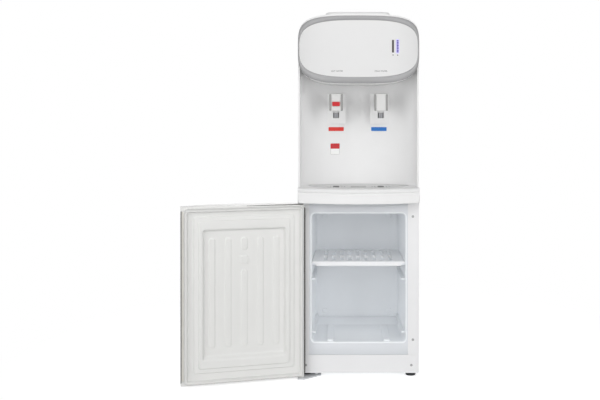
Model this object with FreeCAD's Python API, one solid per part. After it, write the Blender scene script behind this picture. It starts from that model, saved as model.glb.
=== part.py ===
import FreeCAD, Part
import math
import os

from FreeCAD import Vector

# Free-standing top-loading water cooler with a storage cabinet, its door swung open.
# Millimetres. X runs to the right seen from the front, the front faces -Y, Z is up.
# The origin is the middle of the footprint, on the floor.
# A depth is measured from the plane of the front posts and grows towards the back.

# Casing
cabinet_width = 320.0
cabinet_depth = 320.0
sheet = 1.2
foot_height = 9.6
kick_top_z = 57.5
lip_bottom_z = 461.5
alcove_floor_z = 500.0
head_bottom_z = 773.0
head_top_z = 948.8
post_width = 29.5
rear_flange = 16.0
seam = 0.3
skin = 3.0
back_panel_depth = 282.0

# Base, feet and kick panel
base_gauge = 1.5
base_flange = 16.0
foot_pad_radius = 13.5
foot_pad_height = 6.6
foot_collar_radius = 7.0
foot_stud_radius = 4.0
foot_stud_length = 15.0
foot_chamfer = 1.0
foot_side_inset = 21.0
foot_inset = 20.0
kick_gauge = 2.5

# Countersunk screws in the posts and the kick panel
screw_head_radius = 3.4
screw_head_height = 1.7
screw_shank_radius = 1.9
screw_length = 9.0
screw_clearance = 0.2
screw_slot_width = 0.8
screw_slot_depth = 0.9
post_screw_inset = 16.4
post_screw_low_z = 97.4
post_screw_high_z = 423.0
kick_screw_inset = 20.6
kick_screw_z = 30.2

# Storage liner
mouth_side_margin = 36.5
mouth_low_z = 92.0
mouth_high_z = 430.0
mouth_radius = 9.0
liner_wall = 2.5
liner_depth = 212.0
liner_draft_side = 4.5
liner_draft_top = 6.0
liner_draft_floor = 3.0
liner_flange_inset = 10.0
liner_step_depth = 47.0
liner_step_height = 12.0
ledge_width = 4.0
ledge_height = 4.5
ledge_front = 8.0
ledge_back = 203.0
spare_ledge_drop = 40.0
low_ledge_z = 118.0
floor_bar_x = 75.0
floor_bar_half_width = 9.5
floor_bar_rise = 1.5
floor_bar_front = 7.0

# Shelf
shelf_top_z = 303.0
shelf_gauge = 4.5
shelf_front_depth = 6.0
shelf_back_depth = 202.0
shelf_lip_height = 11.5
shelf_lip_gauge = 4.0
shelf_side_gap = 0.8
slot_width = 10.0
slot_length = 66.0
slot_pitch = 21.9
slot_columns = 9
slot_rows = 2
slot_row_gap = 20.0
slot_first_depth = 24.0
rest_gap = 0.2

# Alcove, tray shelf and lip
alcove_sweep = 88.0
alcove_edge_depth = 10.0
alcove_side_top_z = 829.0
alcove_notch_half_width = 96.0
return_front_depth = 4.0
return_back_depth = 14.0
return_gauge = 4.5
return_top_z = 824.0
tab_back_depth = 34.0
tab_inset = 1.4
tab_margin = 12.0
lip_front_depth = -56.0
lip_edge_depth = -25.0
lip_corner_radius = 16.0
lip_fill = 75.0
lip_fill_overlap = 1.0
lip_face_middle = (3.9, 12.0)
lip_groove_low = (6.0, 14.0)
lip_groove = (8.0, 12.0)
lip_groove_high = (6.5, 10.5)
lip_bead_middle = (5.6, 3.5)
lip_bead_back = 12.0
lip_inner_bead = (8.5, 10.0)
lip_inner_top = 10.0

# Head with display, an oval hood that also runs back as the top cover
hood_low_z = 771.4
hood_high_z = 953.6
hood_tab_span = 45.0
head_radius = 307.0
head_front_depth = -45.0
bezel_overhang = 0.3
bezel_rise = 3.2
bezel_side_width = 3.9
screen_low_z = 790.0
screen_high_z = 937.0
screen_rise = 2.0
trim_gap = 0.2
hood_powers = (4.5, 3.35)
screen_powers = (3.6, 3.05)
oval_points = 48
bar_width = 5.3
bar_low_z = 854.0
bar_high_z = 887.0
bar_side_insets = (71.2, 58.8)
board_side_insets = (94.0, 32.0)
board_z = (832.0, 906.0)
board_depth = -8.0
board_gauge = 1.6
board_boss_radius = 3.5
board_boss_inset = 6.0

# Top cover and bottle seat
seat_margin = 2.0
seat_drop = 10.0
seat_rise = 1.0
bottle_depth = 150.0
collar_radius = 90.0
collar_height = 17.4
collar_wall = 3.0
collar_round = 5.0
funnel_hole_gap = 0.4
neck_radius = 29.0
neck_length = 30.0
neck_wall = 2.0
bowl_top_radius = 80.0
bowl_drop = 36.0

# Cold tank, coil and jacket
cold_tank_radius = 62.0
cold_tank_wall = 1.0
cold_tank_low_z = 794.0
cold_tank_high_z = 908.0
cold_neck_gap = 0.5
coil_tube_radius = 3.0
coil_pitch = 13.0
coil_turns = 6
coil_low_z = 808.0
coil_gap = 0.4
cold_jacket_radius = 90.0
jacket_gap = 0.4
tank_shelf_front = 107.0
tank_shelf_gauge = 1.5
tank_shelf_rise = 10.0

# Hot tank
hot_tank_x = -40.0
hot_tank_depth = 200.0
hot_tank_radius = 45.0
hot_tank_wall = 1.0
hot_tank_low_z = 500.0
hot_tank_high_z = 640.0
hot_jacket_radius = 64.0
hot_jacket_bore = 50.0
deck_z = 470.0
heater_gauge = 3.0
heater_low_z = 530.0
heater_high_z = 590.0
heater_gap = 0.2
thermostat_radius = 9.0
thermostat_height = 14.0
thermostat_offset = 22.0

# Taps
tap_x = 59.5
tap_depth = 19.0
tap_axis_z = 722.0
tap_barrel_radius = 9.0
tap_flange_radius = 15.0
tap_flange_gauge = 3.0
tap_head_radius = 9.0
tap_head_low_z = 698.0
tap_head_high_z = 733.0
tap_thread_end = 108.0
tap_spigot_radius = 6.0
tap_spigot_end = 118.0
tap_hole_gap = 0.3
tap_nut_flats = 26.0
tap_nut_gauge = 5.0
tap_nut_depth = 100.0
pad_half_width = 25.5
pad_low_z = 668.0
pad_high_z = 750.0
pad_depth = 83.0
nozzle_radius = 8.0
nozzle_bore = 5.0
nozzle_low_z = 683.0
lever_half_width = 18.0
lever_low_z = 702.0
lever_high_z = 748.0
lever_gauge = 4.0
lever_cheek = 3.0
lever_cheek_depth = 34.0
lever_cheek_low_z = 726.0
pivot_depth = 22.0
pivot_z = 739.0
pivot_radius = 2.0
running_gap = 0.05
ear_half_width = 8.0
ear_half_depth = 5.0
button_half_width = 10.0
button_low_z = 715.0
button_high_z = 726.0
button_gap = 0.3
button_rise = 2.6

# Drip tray and grille
tray_front_depth = -39.0
tray_front_radius = 145.0
tray_wall_gap = 1.5
tray_rim_height = 1.8
tray_rim_width = 4.0
tray_drop_gap = 0.8
tray_floor_z = 478.0
tray_wall = 1.8
grille_gap = 0.4
grille_gauge = 3.0
grille_top_z = 500.4
grille_slot_width = 3.0
grille_slot_length = 30.0
grille_slot_offsets = (15.5, 23.0)
grille_drain_radius = 8.5
grille_drain_reach = 14.0
tray_post_radius = 4.0
tray_post_x = 95.0
tray_post_depth = 45.0

# Door
door_side_gap = 1.0
door_low_z = 5.6
door_high_z = 459.0
door_front_depth = -56.0
door_edge_depth = -27.0
door_skin_gauge = 2.0
door_cap_height = 12.0
door_liner_depth = -10.0
door_liner_gauge = 2.0
door_frame_inset = 5.0
door_frame_low_rise = 2.6
door_frame_top_drop = 5.5
door_sheet_shift = -2.5
gasket_width = 10.0
gasket_height = 8.9
gasket_round = 3.0
door_step_inset = (29.0, 40.5)
door_step_top_drop = (25.0, 35.5)
door_step_rise = 2.5
recess_side_margin = 54.0
recess_low_z = 70.0
recess_high_z = 399.0
recess_drop = 9.0
recess_slope = 7.0
recess_radius = 7.0
rib_half_width = 9.0
rib_low_z = 95.0
rib_high_z = 379.0
rib_pitch = 41.5
rib_count = 5
rib_rise = 2.2
rib_break_z = (296.0, 342.0)
door_open_angle = 165.5

# Door hinge
hinge_inset = 8.5
hinge_depth = -16.0
hinge_pin_radius = 3.5
hinge_pin_length = 10.5
hinge_plate_gauge = 3.0
hinge_plate_drop = 5.6
hinge_plate_slant = (18.0, 4.0)
hinge_plate_width = 61.0
hinge_plate_back = 44.0
hinge_plate_front = -30.0
hinge_spacer_radius = 5.0
hinge_spacer_inset = 13.0
hinge_spacer_depths = (12.0, 30.0)
upper_plate_back = 36.0
hinge_hole_gap = 0.4
bush_radius = 5.0
bush_gap = 0.1
bush_flange_radius = 7.0
bush_flange_seat = 1.0
upper_plate_inset = 4.9
upper_plate_front = -20.5
upper_plate_width = 50.1

# Refrigeration
compressor_side_inset = 98.0
compressor_gap = 3.5
compressor_radius = 46.0
compressor_low_z = 30.0
compressor_high_z = 168.0
compressor_dome = 22.0
compressor_crown_radius = 28.5
compressor_foot_half = 44.0
compressor_foot_gauge = 3.0
mount_radius = 9.0
mount_pitch = 32.0
condenser_depth = 297.0
condenser_left_inset = 46.0
condenser_right_inset = 94.0
condenser_low_z = 340.0
condenser_pass_pitch = 56.0
condenser_passes = 11
condenser_bend = 25.0
condenser_tube_radius = 2.6
condenser_tail_z = 262.0
wire_radius = 0.8
wire_pitch = 11.0
wire_count = 18
wire_gap = 0.05
wire_overhang = 14.0
clip_half_width = 6.0
clip_half_height = 5.0
drier_radius = 9.0
drier_length = 84.0
drier_neck_radius = 3.5
drier_neck_length = 6.0
line_radius = 3.0
line_bend = 8.0
line_hole_gap = 1.5
line_inset = 30.0
line_drop = 40.0
capillary_shift = 30.0
suction_side_inset = 20.0
suction_rise = 60.0
suction_sweep = 30.0
suction_offset = 30.0
discharge_offset = 20.0
discharge_rise = 45.0
discharge_sweep = 35.0
discharge_gap = 10.0

# Water tubes
tube_radius = 5.0
tube_bore = 3.2
tube_bend = 16.0
tube_hole_gap = 1.0
cold_tube_depth = 148.0
hot_tube_depth = 190.0
feed_x = -30.0
drain_side_inset = 38.0
drain_z = 512.0
drain_cap_radius = 11.0
drain_cap_length = 16.0
drain_reach = 14.0

# Electrics at the rear
switch_side_inset = 38.0
switch_z = (860.0, 828.0)
switch_frame_half_width = 9.0
switch_frame_half_height = 14.5
switch_frame_gauge = 2.0
switch_well_half_width = 6.2
switch_well_half_height = 10.6
switch_wall = 1.6
switch_well_drop = 10.0
rocker_half_width = 5.8
rocker_radius = 10.2
rocker_rise = 3.4
rocker_tilt = 8.0
rocker_back = 5.0
trunnion_radius = 1.5
gland_side_inset = 38.0
gland_z = 330.0
gland_bore = 3.6
gland_radius = 7.8
gland_hole_gap = 0.2
gland_flange_radius = 11.0
gland_flange_gauge = 3.0
gland_length = 14.0

half_width = cabinet_width / 2
front_y = -cabinet_depth / 2
rear_y = cabinet_depth / 2
inner_half_width = half_width - sheet
foot_x = half_width - foot_side_inset
post_screw_x = half_width - post_screw_inset
kick_screw_x = half_width - kick_screw_inset
mouth_half_width = half_width - mouth_side_margin
liner_flange_half_width = half_width - liner_flange_inset
alcove_half_width = half_width - return_gauge
lip_sagitta = lip_edge_depth - lip_front_depth
lip_radius = (half_width ** 2 + lip_sagitta ** 2) / (2 * lip_sagitta)
bezel_half_width = half_width + bezel_overhang
screen_half_width = bezel_half_width - bezel_side_width
bar_x = [half_width - inset for inset in bar_side_insets]
board_x = [half_width - inset for inset in board_side_insets]
door_half_width = half_width - door_side_gap
recess_half_width = door_half_width - recess_side_margin
hinge_x = hinge_inset - half_width
hinge_seat_z = door_low_z - bush_flange_seat
hinge_plate_inner_x = hinge_plate_width - half_width
upper_plate_outer_x = upper_plate_inset - half_width
upper_plate_inner_x = upper_plate_outer_x + upper_plate_width
compressor_x = half_width - compressor_side_inset
compressor_depth = liner_depth + liner_wall + compressor_gap + compressor_radius
condenser_left_x = condenser_left_inset - half_width
condenser_right_x = half_width - condenser_right_inset
suction_x = half_width - suction_side_inset
drain_x = half_width - drain_side_inset
switch_x = half_width - switch_side_inset
gland_x = half_width - gland_side_inset
bottle_y = front_y + bottle_depth
hood_seam_z = (hood_low_z + hood_high_z) / 2
seat_top_z = hood_high_z + seat_rise
collar_top_z = seat_top_z + collar_height
far = 2 * (cabinet_width + cabinet_depth)
hinge_y = front_y + hinge_depth
pivot_y = front_y + pivot_depth
shelf_low_z = shelf_top_z - shelf_gauge
tank_shelf_top_z = hood_low_z + skin + tank_shelf_rise
hot_tank_y = front_y + hot_tank_depth
deck_top_z = deck_z + sheet
back_y = front_y + back_panel_depth
rocker_y = back_y + sheet + switch_frame_gauge / 2


def at(depth):
    """Turn a depth behind the front posts into a Y value."""
    return front_y + depth


def box(x, y, z):
    """Make a box from the low and high value on each axis."""
    return Part.makeBox(x[1] - x[0], y[1] - y[0], z[1] - z[0], Vector(x[0], y[0], z[0]))


def rod(radius, start, end):
    """Make a cylinder between two points."""
    start = Vector(*start)
    run = Vector(*end) - start
    return Part.makeCylinder(radius, run.Length, start, run)


def pipe(radius, bore, start, end):
    """Make a hollow cylinder between two points."""
    return rod(radius, start, end).cut(rod(bore, start, end))


def join(*shapes):
    """Fuse solids into one clean solid."""
    whole = shapes[0].multiFuse(list(shapes[1:]))
    return whole.removeSplitter()


def mirrored(shape):
    """Mirror a shape from the right side to the left."""
    return shape.mirror(Vector(0, 0, 0), Vector(1, 0, 0))


def group(shapes):
    """Hold separate solids in one node."""
    return Part.makeCompound(shapes)


def polygon_face(points):
    """Make a flat face from corner points."""
    corners = [Vector(*point) for point in points]
    return Part.Face(Part.makePolygon(corners + corners[:1]))


def lathe(profile, x, y):
    """Turn a profile of (radius, height) corners about an upright axis."""
    face = polygon_face([(x + radius, y, z) for radius, z in profile])
    return face.revolve(Vector(x, y, 0), Vector(0, 0, 1), 360)


def rounded_wire(half, low, high, radius, depth):
    """Outline an upright rounded rectangle at one depth."""
    y = at(depth)
    diagonal = radius * (1 - math.sqrt(0.5))
    edges = []
    corners = ((half, low, -1, 1), (half, high, -1, -1), (-half, high, 1, -1), (-half, low, 1, 1))
    ends = []
    for index, (x, z, in_x, in_z) in enumerate(corners):
        on_side = Vector(x, y, z + in_z * radius)
        on_flat = Vector(x + in_x * radius, y, z)
        middle = Vector(x + in_x * diagonal, y, z + in_z * diagonal)
        first, last = (on_flat, on_side) if index % 2 == 0 else (on_side, on_flat)
        edges.append(Part.Arc(first, middle, last).toShape())
        ends.append((first, last))
    for index, (_, last) in enumerate(ends):
        edges.append(Part.LineSegment(last, ends[(index + 1) % len(ends)][0]).toShape())
    return Part.Wire(Part.__sortEdges__(edges))


def rounded_slab(half, low, high, radius, front, back):
    """Extrude an upright rounded rectangle from one depth to another."""
    face = Part.Face(rounded_wire(half, low, high, radius, front))
    return face.extrude(Vector(0, back - front, 0))


def drafted_block(front_section, back_section):
    """Loft a solid between two rounded rectangles, each (half, low, high, radius, depth)."""
    wires = [rounded_wire(*front_section), rounded_wire(*back_section)]
    return Part.makeLoft(wires, True, True)


def bow(radius, front_depth, low, high):
    """Make the upright drum whose front is a bowed face."""
    centre = Vector(0, at(front_depth) + radius, low)
    return Part.makeCylinder(radius, high - low, centre)


def ellipse_block(half, sweep, depth, low, high):
    """Extrude a flat-lying ellipse upwards."""
    curve = Part.Ellipse(Vector(0, at(depth), low), half, sweep)
    face = Part.Face(Part.Wire(curve.toShape()))
    return face.extrude(Vector(0, 0, high - low))


def oval_block(half, low, high, powers, back=0.0):
    """Extrude an upright superellipse, with powers above and below, forward from one Y value."""
    middle = (low + high) / 2
    rise = (high - low) / 2
    points = []
    for step in range(oval_points):
        angle = 2 * math.pi * step / oval_points
        across = math.cos(angle)
        upward = math.sin(angle)
        power = powers[0] if upward > 0 else powers[1]
        x = half * math.copysign(abs(across) ** (2 / power), across)
        z = middle + rise * math.copysign(abs(upward) ** (2 / power), upward)
        points.append(Vector(x, back, z))
    curve = Part.BSplineCurve()
    curve.interpolate(Points=points, PeriodicFlag=True)
    face = Part.Face(Part.Wire(curve.toShape()))
    return face.extrude(Vector(0, -far, 0))


def bent_path(points, bend):
    """Join straight runs with tangent arcs of one bend radius."""
    corners = [Vector(*point) for point in points]
    edges = []
    start = corners[0]
    for before, corner, after in zip(corners, corners[1:], corners[2:]):
        into = (corner - before).normalize()
        out = (after - corner).normalize()
        half_turn = into.getAngle(out) / 2
        reach = bend * math.tan(half_turn)
        first = corner - into * reach
        last = corner + out * reach
        inward = (out - into).normalize()
        middle = corner + inward * (bend / math.cos(half_turn) - bend)
        edges.append(Part.LineSegment(start, first).toShape())
        edges.append(Part.Arc(first, middle, last).toShape())
        start = last
    edges.append(Part.LineSegment(start, corners[-1]).toShape())
    return Part.Wire(edges)


def bent_rod(points, bend, radius):
    """Sweep a round section along straight runs and tangent arcs."""
    path = bent_path(points, bend)
    run = Vector(*points[1]) - Vector(*points[0])
    circle = Part.Wire(Part.makeCircle(radius, Vector(*points[0]), run))
    return Part.Solid(path.makePipeShell([circle], True, False))


def bent_tube(points, bend, radius, bore):
    """Sweep a hollow tube along straight runs and tangent arcs."""
    return bent_rod(points, bend, radius).cut(bent_rod(points, bend, bore))


def screw_points():
    """List where the front screws sit, as (x, z)."""
    spots = []
    for side in (-1, 1):
        spots.append((side * post_screw_x, post_screw_low_z))
        spots.append((side * post_screw_x, post_screw_high_z))
        spots.append((side * kick_screw_x, kick_screw_z))
    return spots


def screw_blank(x, z, gap):
    """Make a countersunk screw, or with a gap the hole that takes it."""
    head = Part.makeCone(
        screw_head_radius + gap,
        screw_shank_radius + gap,
        screw_head_height,
        Vector(x, front_y, z),
        Vector(0, 1, 0),
    )
    shank = rod(screw_shank_radius + gap, (x, at(screw_head_height), z), (x, at(screw_length), z))
    return head.fuse(shank)


def screw_holes():
    """Make every front screw hole as one cutter."""
    return group([screw_blank(x, z, screw_clearance) for x, z in screw_points()])


def front_screws():
    """Make the countersunk cross-head screws of the front."""
    screws = []
    for x, z in screw_points():
        screw = screw_blank(x, z, 0)
        depth = (front_y, front_y + screw_slot_depth)
        long = (-screw_head_radius * 0.7, screw_head_radius * 0.7)
        thin = (-screw_slot_width / 2, screw_slot_width / 2)
        for across, upward in ((long, thin), (thin, long)):
            slot = box((x + across[0], x + across[1]), depth, (z + upward[0], z + upward[1]))
            screw = screw.cut(slot)
        screws.append(screw)
    return group(screws)


def side_panel():
    """Fold the right side sheet with its front post and rear flange."""
    wall_x = (inner_half_width, half_width)
    low_wall = box(wall_x, (front_y, rear_y), (foot_height, lip_bottom_z - seam))
    high_wall = box(
        wall_x,
        (at(return_back_depth) + seam, rear_y),
        (lip_bottom_z - seam, hood_seam_z),
    )
    post = box(
        (half_width - post_width, half_width),
        (front_y, front_y + sheet),
        (kick_top_z, lip_bottom_z - seam),
    )
    flange = box(
        (half_width - rear_flange, half_width), (rear_y - sheet, rear_y), (foot_height, hood_seam_z)
    )
    kick_relief = box(wall_x, (front_y, at(kick_gauge)), (foot_height, kick_top_z))
    return join(low_wall.cut(kick_relief), high_wall, post, flange).cut(screw_holes())


def foot_points():
    """List where the four feet stand, as (x, y)."""
    return [(side * foot_x, end * (rear_y - foot_inset)) for side in (-1, 1) for end in (-1, 1)]


def base_plate():
    """Fold the floor sheet with an upstand on three sides."""
    top_z = foot_height + base_gauge
    upstand = (foot_height, foot_height + base_flange)
    y = (at(kick_gauge), rear_y - sheet)
    plate = box((-inner_half_width, inner_half_width), y, (foot_height, top_z))
    front = box((-inner_half_width, inner_half_width), (y[0], y[0] + base_gauge), upstand)
    right = box((inner_half_width - base_gauge, inner_half_width), y, upstand)
    plate = join(plate, front, right, mirrored(right))
    for x, foot_y in foot_points():
        hole = rod(foot_stud_radius + screw_clearance, (x, foot_y, 0), (x, foot_y, top_z))
        plate = plate.cut(hole)
    return plate.cut(screw_holes())


def levelling_feet():
    """Turn four screw-in feet."""
    profile = [
        (0, 0),
        (foot_pad_radius, 0),
        (foot_pad_radius, foot_pad_height - foot_chamfer),
        (foot_pad_radius - foot_chamfer, foot_pad_height),
        (foot_collar_radius, foot_pad_height),
        (foot_collar_radius, foot_height),
        (foot_stud_radius, foot_height),
        (foot_stud_radius, foot_height + foot_stud_length),
        (0, foot_height + foot_stud_length),
    ]
    return group([lathe(profile, x, y) for x, y in foot_points()])


def kick_panel():
    """Make the strip that closes the base below the liner."""
    strip = box((-half_width, half_width), (front_y, at(kick_gauge)), (foot_height, kick_top_z - seam))
    return strip.cut(screw_holes())


def liner_sections(grow):
    """Give the front and back outlines of the liner cavity, grown by a wall."""
    front = (
        mouth_half_width + grow,
        mouth_low_z - grow,
        mouth_high_z + grow,
        mouth_radius + grow,
        sheet,
    )
    back = (
        mouth_half_width - liner_draft_side + grow,
        mouth_low_z + liner_draft_floor - grow,
        mouth_high_z - liner_draft_top + grow,
        mouth_radius + grow,
        liner_depth + grow,
    )
    return front, back


def liner_half_width(depth):
    """Half width inside the liner at a depth, along its draft."""
    return mouth_half_width - liner_draft_side * (depth - sheet) / (liner_depth - sheet)


def ledge_tops():
    """Heights of the ledge pairs moulded into the liner walls."""
    shelf_ledge = shelf_low_z - rest_gap
    return (shelf_ledge, shelf_ledge - spare_ledge_drop, low_ledge_z)


def cabinet_liner():
    """Form the storage liner with its flange, ledges and rear floor step."""
    outer = drafted_block(*liner_sections(liner_wall))
    cavity = drafted_block(*liner_sections(0))
    flange = box(
        (-liner_flange_half_width, liner_flange_half_width),
        (at(sheet), at(sheet + liner_wall)),
        (kick_top_z, lip_bottom_z - seam),
    )
    step_floor = mouth_low_z + liner_step_height
    step = box(
        (-mouth_half_width, mouth_half_width),
        (at(liner_depth - liner_step_depth), at(liner_depth)),
        (mouth_low_z, step_floor),
    ).common(outer)
    shell = join(outer, flange).cut(cavity)
    bar = box(
        (floor_bar_x - floor_bar_half_width, floor_bar_x + floor_bar_half_width),
        (at(floor_bar_front), at(liner_depth - liner_step_depth)),
        (mouth_low_z, mouth_low_z + liner_draft_floor + floor_bar_rise),
    )
    parts = [shell, step, bar, mirrored(bar)]
    for top in ledge_tops():
        inner = liner_half_width(ledge_back) - ledge_width
        ledge = box(
            (inner, mouth_half_width + liner_wall),
            (at(ledge_front), at(ledge_back)),
            (top - ledge_height, top),
        ).common(outer)
        parts.append(ledge)
        parts.append(mirrored(ledge))
    return join(*parts).cut(screw_holes())


def shelf_slots():
    """Make the round-ended slots of the shelf as one cutter."""
    slots = []
    radius = slot_width / 2
    z = (shelf_low_z - shelf_gauge, shelf_top_z + shelf_gauge)
    for column in range(slot_columns):
        x = (column - (slot_columns - 1) / 2) * slot_pitch
        for row in range(slot_rows):
            near = at(slot_first_depth + row * (slot_length + slot_row_gap)) + radius
            away = near + slot_length - slot_width
            slots.append(box((x - radius, x + radius), (near, away), z))
            slots.append(rod(radius, (x, near, z[0]), (x, near, z[1])))
            slots.append(rod(radius, (x, away, z[0]), (x, away, z[1])))
    return slots


def shelf():
    """Make the slotted shelf with its front lip, drafted like the liner."""
    front_half = liner_half_width(shelf_front_depth) - shelf_side_gap
    back_half = liner_half_width(shelf_back_depth) - shelf_side_gap
    outline = [
        (-front_half, at(shelf_front_depth), shelf_low_z),
        (front_half, at(shelf_front_depth), shelf_low_z),
        (back_half, at(shelf_back_depth), shelf_low_z),
        (-back_half, at(shelf_back_depth), shelf_low_z),
    ]
    plate = polygon_face(outline).extrude(Vector(0, 0, shelf_gauge))
    lip_half = front_half - ledge_width - liner_draft_side
    lip = box(
        (-lip_half, lip_half),
        (at(shelf_front_depth), at(shelf_front_depth + shelf_lip_gauge)),
        (shelf_top_z - shelf_lip_height, shelf_top_z),
    )
    return join(plate, lip).cut(group(shelf_slots()))


def lip_solid(profile):
    """Turn an upright profile of (offset from the bow, height) about the bow's axis."""
    axis_y = at(lip_front_depth) + lip_radius
    edges = []
    for start, middle, end in profile:
        first, last = [Vector(0, axis_y - lip_radius - offset, z) for offset, z in (start, end)]
        if middle is None:
            edges.append(Part.LineSegment(first, last).toShape())
        else:
            through = Vector(0, axis_y - lip_radius - middle[0], middle[1])
            edges.append(Part.Arc(first, through, last).toShape())
    face = Part.Face(Part.Wire(edges))
    half_turn = math.degrees(math.asin(half_width / (lip_radius - lip_fill))) + 2
    face.rotate(Vector(0, axis_y, 0), Vector(0, 0, 1), -half_turn)
    return face.revolve(Vector(0, axis_y, 0), Vector(0, 0, 1), 2 * half_turn)


def lip_corners(radius):
    """Make the two waste pieces outside an arc that runs from the lip's bow into its ends."""
    x = half_width - lip_corner_radius
    spoke = lip_radius - lip_corner_radius
    back = math.sqrt(spoke ** 2 - x ** 2)
    y = at(lip_front_depth) + lip_radius - back
    tangent_x = x + radius * x / spoke
    waste = box((tangent_x, far), (-far, y), (0, far)).cut(rod(radius, (x, y, 0), (x, y, far)))
    return group([waste, mirrored(waste)])


def lip_block():
    """Make the bull-nosed lip as a filled bowed solid."""
    low = lip_bottom_z
    top = alcove_floor_z
    face = (-lip_face_middle[0], low + lip_face_middle[1])
    groove_low, groove, groove_high, bead = [
        (-back, top - drop) for back, drop in (lip_groove_low, lip_groove, lip_groove_high, lip_bead_middle)
    ]
    bead_back = (-lip_bead_back, top)
    profile = [
        ((0.0, low), face, groove_low),
        (groove_low, None, groove),
        (groove, None, groove_high),
        (groove_high, bead, bead_back),
        (bead_back, None, (-lip_fill, top)),
        ((-lip_fill, top), None, (-lip_fill, low)),
        ((-lip_fill, low), None, (0.0, low)),
    ]
    reach = box((-half_width, half_width), (-far, at(return_back_depth)), (0, far))
    return lip_solid(profile).common(reach).cut(lip_corners(lip_corner_radius))


def lip_hollow():
    """Make the space behind the lip's wall."""
    low = lip_bottom_z - lip_fill_overlap
    top = alcove_floor_z - skin
    back = -lip_fill - lip_fill_overlap
    inner_low = (-skin, low)
    inner_bead = (-skin - lip_inner_bead[0], alcove_floor_z - lip_inner_bead[1])
    inner_top = (-skin - lip_inner_top, top)
    profile = [
        (inner_low, None, inner_bead),
        (inner_bead, None, inner_top),
        (inner_top, None, (back, top)),
        ((back, top), None, (back, low)),
        ((back, low), None, inner_low),
    ]
    inner = half_width - skin
    space = lip_solid(profile).common(box((-inner, inner), (-far, far), (0, far)))
    return space.cut(lip_corners(lip_corner_radius - skin))


def tray_lens(shrink, low, high):
    """Make the lens between the alcove wall and the tray's round front edge."""
    inset = tray_wall_gap + shrink
    back = ellipse_block(
        alcove_half_width - inset, alcove_sweep - inset, alcove_edge_depth, low, high
    )
    radius = tray_front_radius - shrink
    front = bow(radius, tray_front_depth + shrink, low, high)
    return back.common(front)


def side_tab(low, high):
    """Make the right-hand tab that laps inside a side panel."""
    return box(
        (inner_half_width - skin, inner_half_width),
        (at(return_front_depth + tab_inset), at(tab_back_depth)),
        (low + tab_margin, high - tab_margin),
    )


def front_panel():
    """Mould the alcove wall, tray shelf, lip and tap seats in one piece."""
    top = alcove_side_top_z
    floor_low = alcove_floor_z - skin
    hollow = ellipse_block(alcove_half_width, alcove_sweep, alcove_edge_depth, floor_low, top)
    outer = ellipse_block(
        alcove_half_width + skin, alcove_sweep + skin, alcove_edge_depth, floor_low, top
    )
    behind_edge = box((-far, far), (at(alcove_edge_depth), far), (0, far))
    tank_notch = box(
        (-alcove_notch_half_width, alcove_notch_half_width),
        (at(alcove_edge_depth), far),
        (tank_shelf_top_z - skin, far),
    )
    wall = outer.cut(hollow).common(behind_edge).cut(tank_notch)
    shelf_front = box((-half_width, half_width), (at(2 * lip_front_depth), at(return_back_depth)), (0, far))
    lip_drum = bow(lip_radius - skin, lip_front_depth + 4 * skin, floor_low, alcove_floor_z)
    tray_shelf = lip_drum.common(join(outer.common(behind_edge), shelf_front))
    lip = lip_block().cut(lip_hollow())
    side_return = box(
        (half_width - return_gauge, half_width),
        (at(return_front_depth), at(return_back_depth)),
        (lip_bottom_z, return_top_z),
    )
    tab = side_tab(alcove_floor_z, head_bottom_z)
    pieces = [wall, tray_shelf, lip, side_return, mirrored(side_return), tab, mirrored(tab)]
    for side in (-1, 1):
        x = side * tap_x
        seat = box(
            (x - pad_half_width, x + pad_half_width), (at(pad_depth), far), (pad_low_z, pad_high_z)
        )
        pieces.append(seat.common(outer))
    panel = join(*pieces)
    panel = panel.cut(tray_lens(tray_rim_width - tray_drop_gap, 0, alcove_floor_z + skin))
    for side in (-1, 1):
        x = side * tap_x
        hole_radius = tap_barrel_radius + tap_hole_gap
        panel = panel.cut(rod(hole_radius, (x, at(0), tap_axis_z), (x, at(tap_thread_end), tap_axis_z)))
    return panel.cut(hood_oval(-seam, at(return_back_depth) + seam))


def hood_oval(inset, back):
    """Fill the hood's oval outline, drawn in by an inset, forward from one Y value."""
    low = hood_low_z + inset
    high = hood_high_z - inset
    return oval_block(half_width - inset, low, high, hood_powers, back)


def hood_shell():
    """Make the oval skin that the head's ceiling and the top cover are parts of."""
    return hood_oval(0, rear_y).cut(hood_oval(skin, rear_y))


def head_shell(low_rise, high_rise):
    """Make the bowed layer between two heights above the head's face."""
    span = (head_bottom_z - skin, head_top_z + skin)
    outer = bow(head_radius + high_rise, head_front_depth - high_rise, *span)
    return outer.cut(bow(head_radius + low_rise, head_front_depth - low_rise, *span))


def bar_blocks(grow):
    """Make the upright blocks of the two light bars."""
    blocks = []
    for x in bar_x:
        across = bar_width / 2 + grow
        blocks.append(box((x - across, x + across), (-far, at(0)), (bar_low_z - grow, bar_high_z + grow)))
    return blocks


def display_housing():
    """Mould the bowed oval head, with its ceiling over the alcove and board bosses."""
    span = (hood_low_z - skin, hood_high_z + skin)
    outer = bow(head_radius, head_front_depth, *span).common(hood_oval(0, at(return_back_depth)))
    inner = bow(head_radius - skin, head_front_depth + skin, *span).common(hood_oval(skin, 0))
    alcove_plan = ellipse_block(
        alcove_half_width - seam, alcove_sweep - seam, alcove_edge_depth, span[0], hood_seam_z
    )
    behind_edge = box((-far, far), (at(alcove_edge_depth), far), (0, far))
    ceiling = hood_shell().common(alcove_plan).common(behind_edge)
    tab = side_tab(hood_seam_z - hood_tab_span, hood_seam_z)
    pieces = [outer.cut(inner), ceiling, tab, mirrored(tab)]
    for x in (board_x[0] + board_boss_inset, board_x[1] - board_boss_inset):
        for z in (board_z[0] + board_boss_inset, board_z[1] - board_boss_inset):
            boss = rod(board_boss_radius, (x, at(2 * head_front_depth), z), (x, at(board_depth), z))
            pieces.append(boss.common(outer))
    return join(*pieces)


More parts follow.
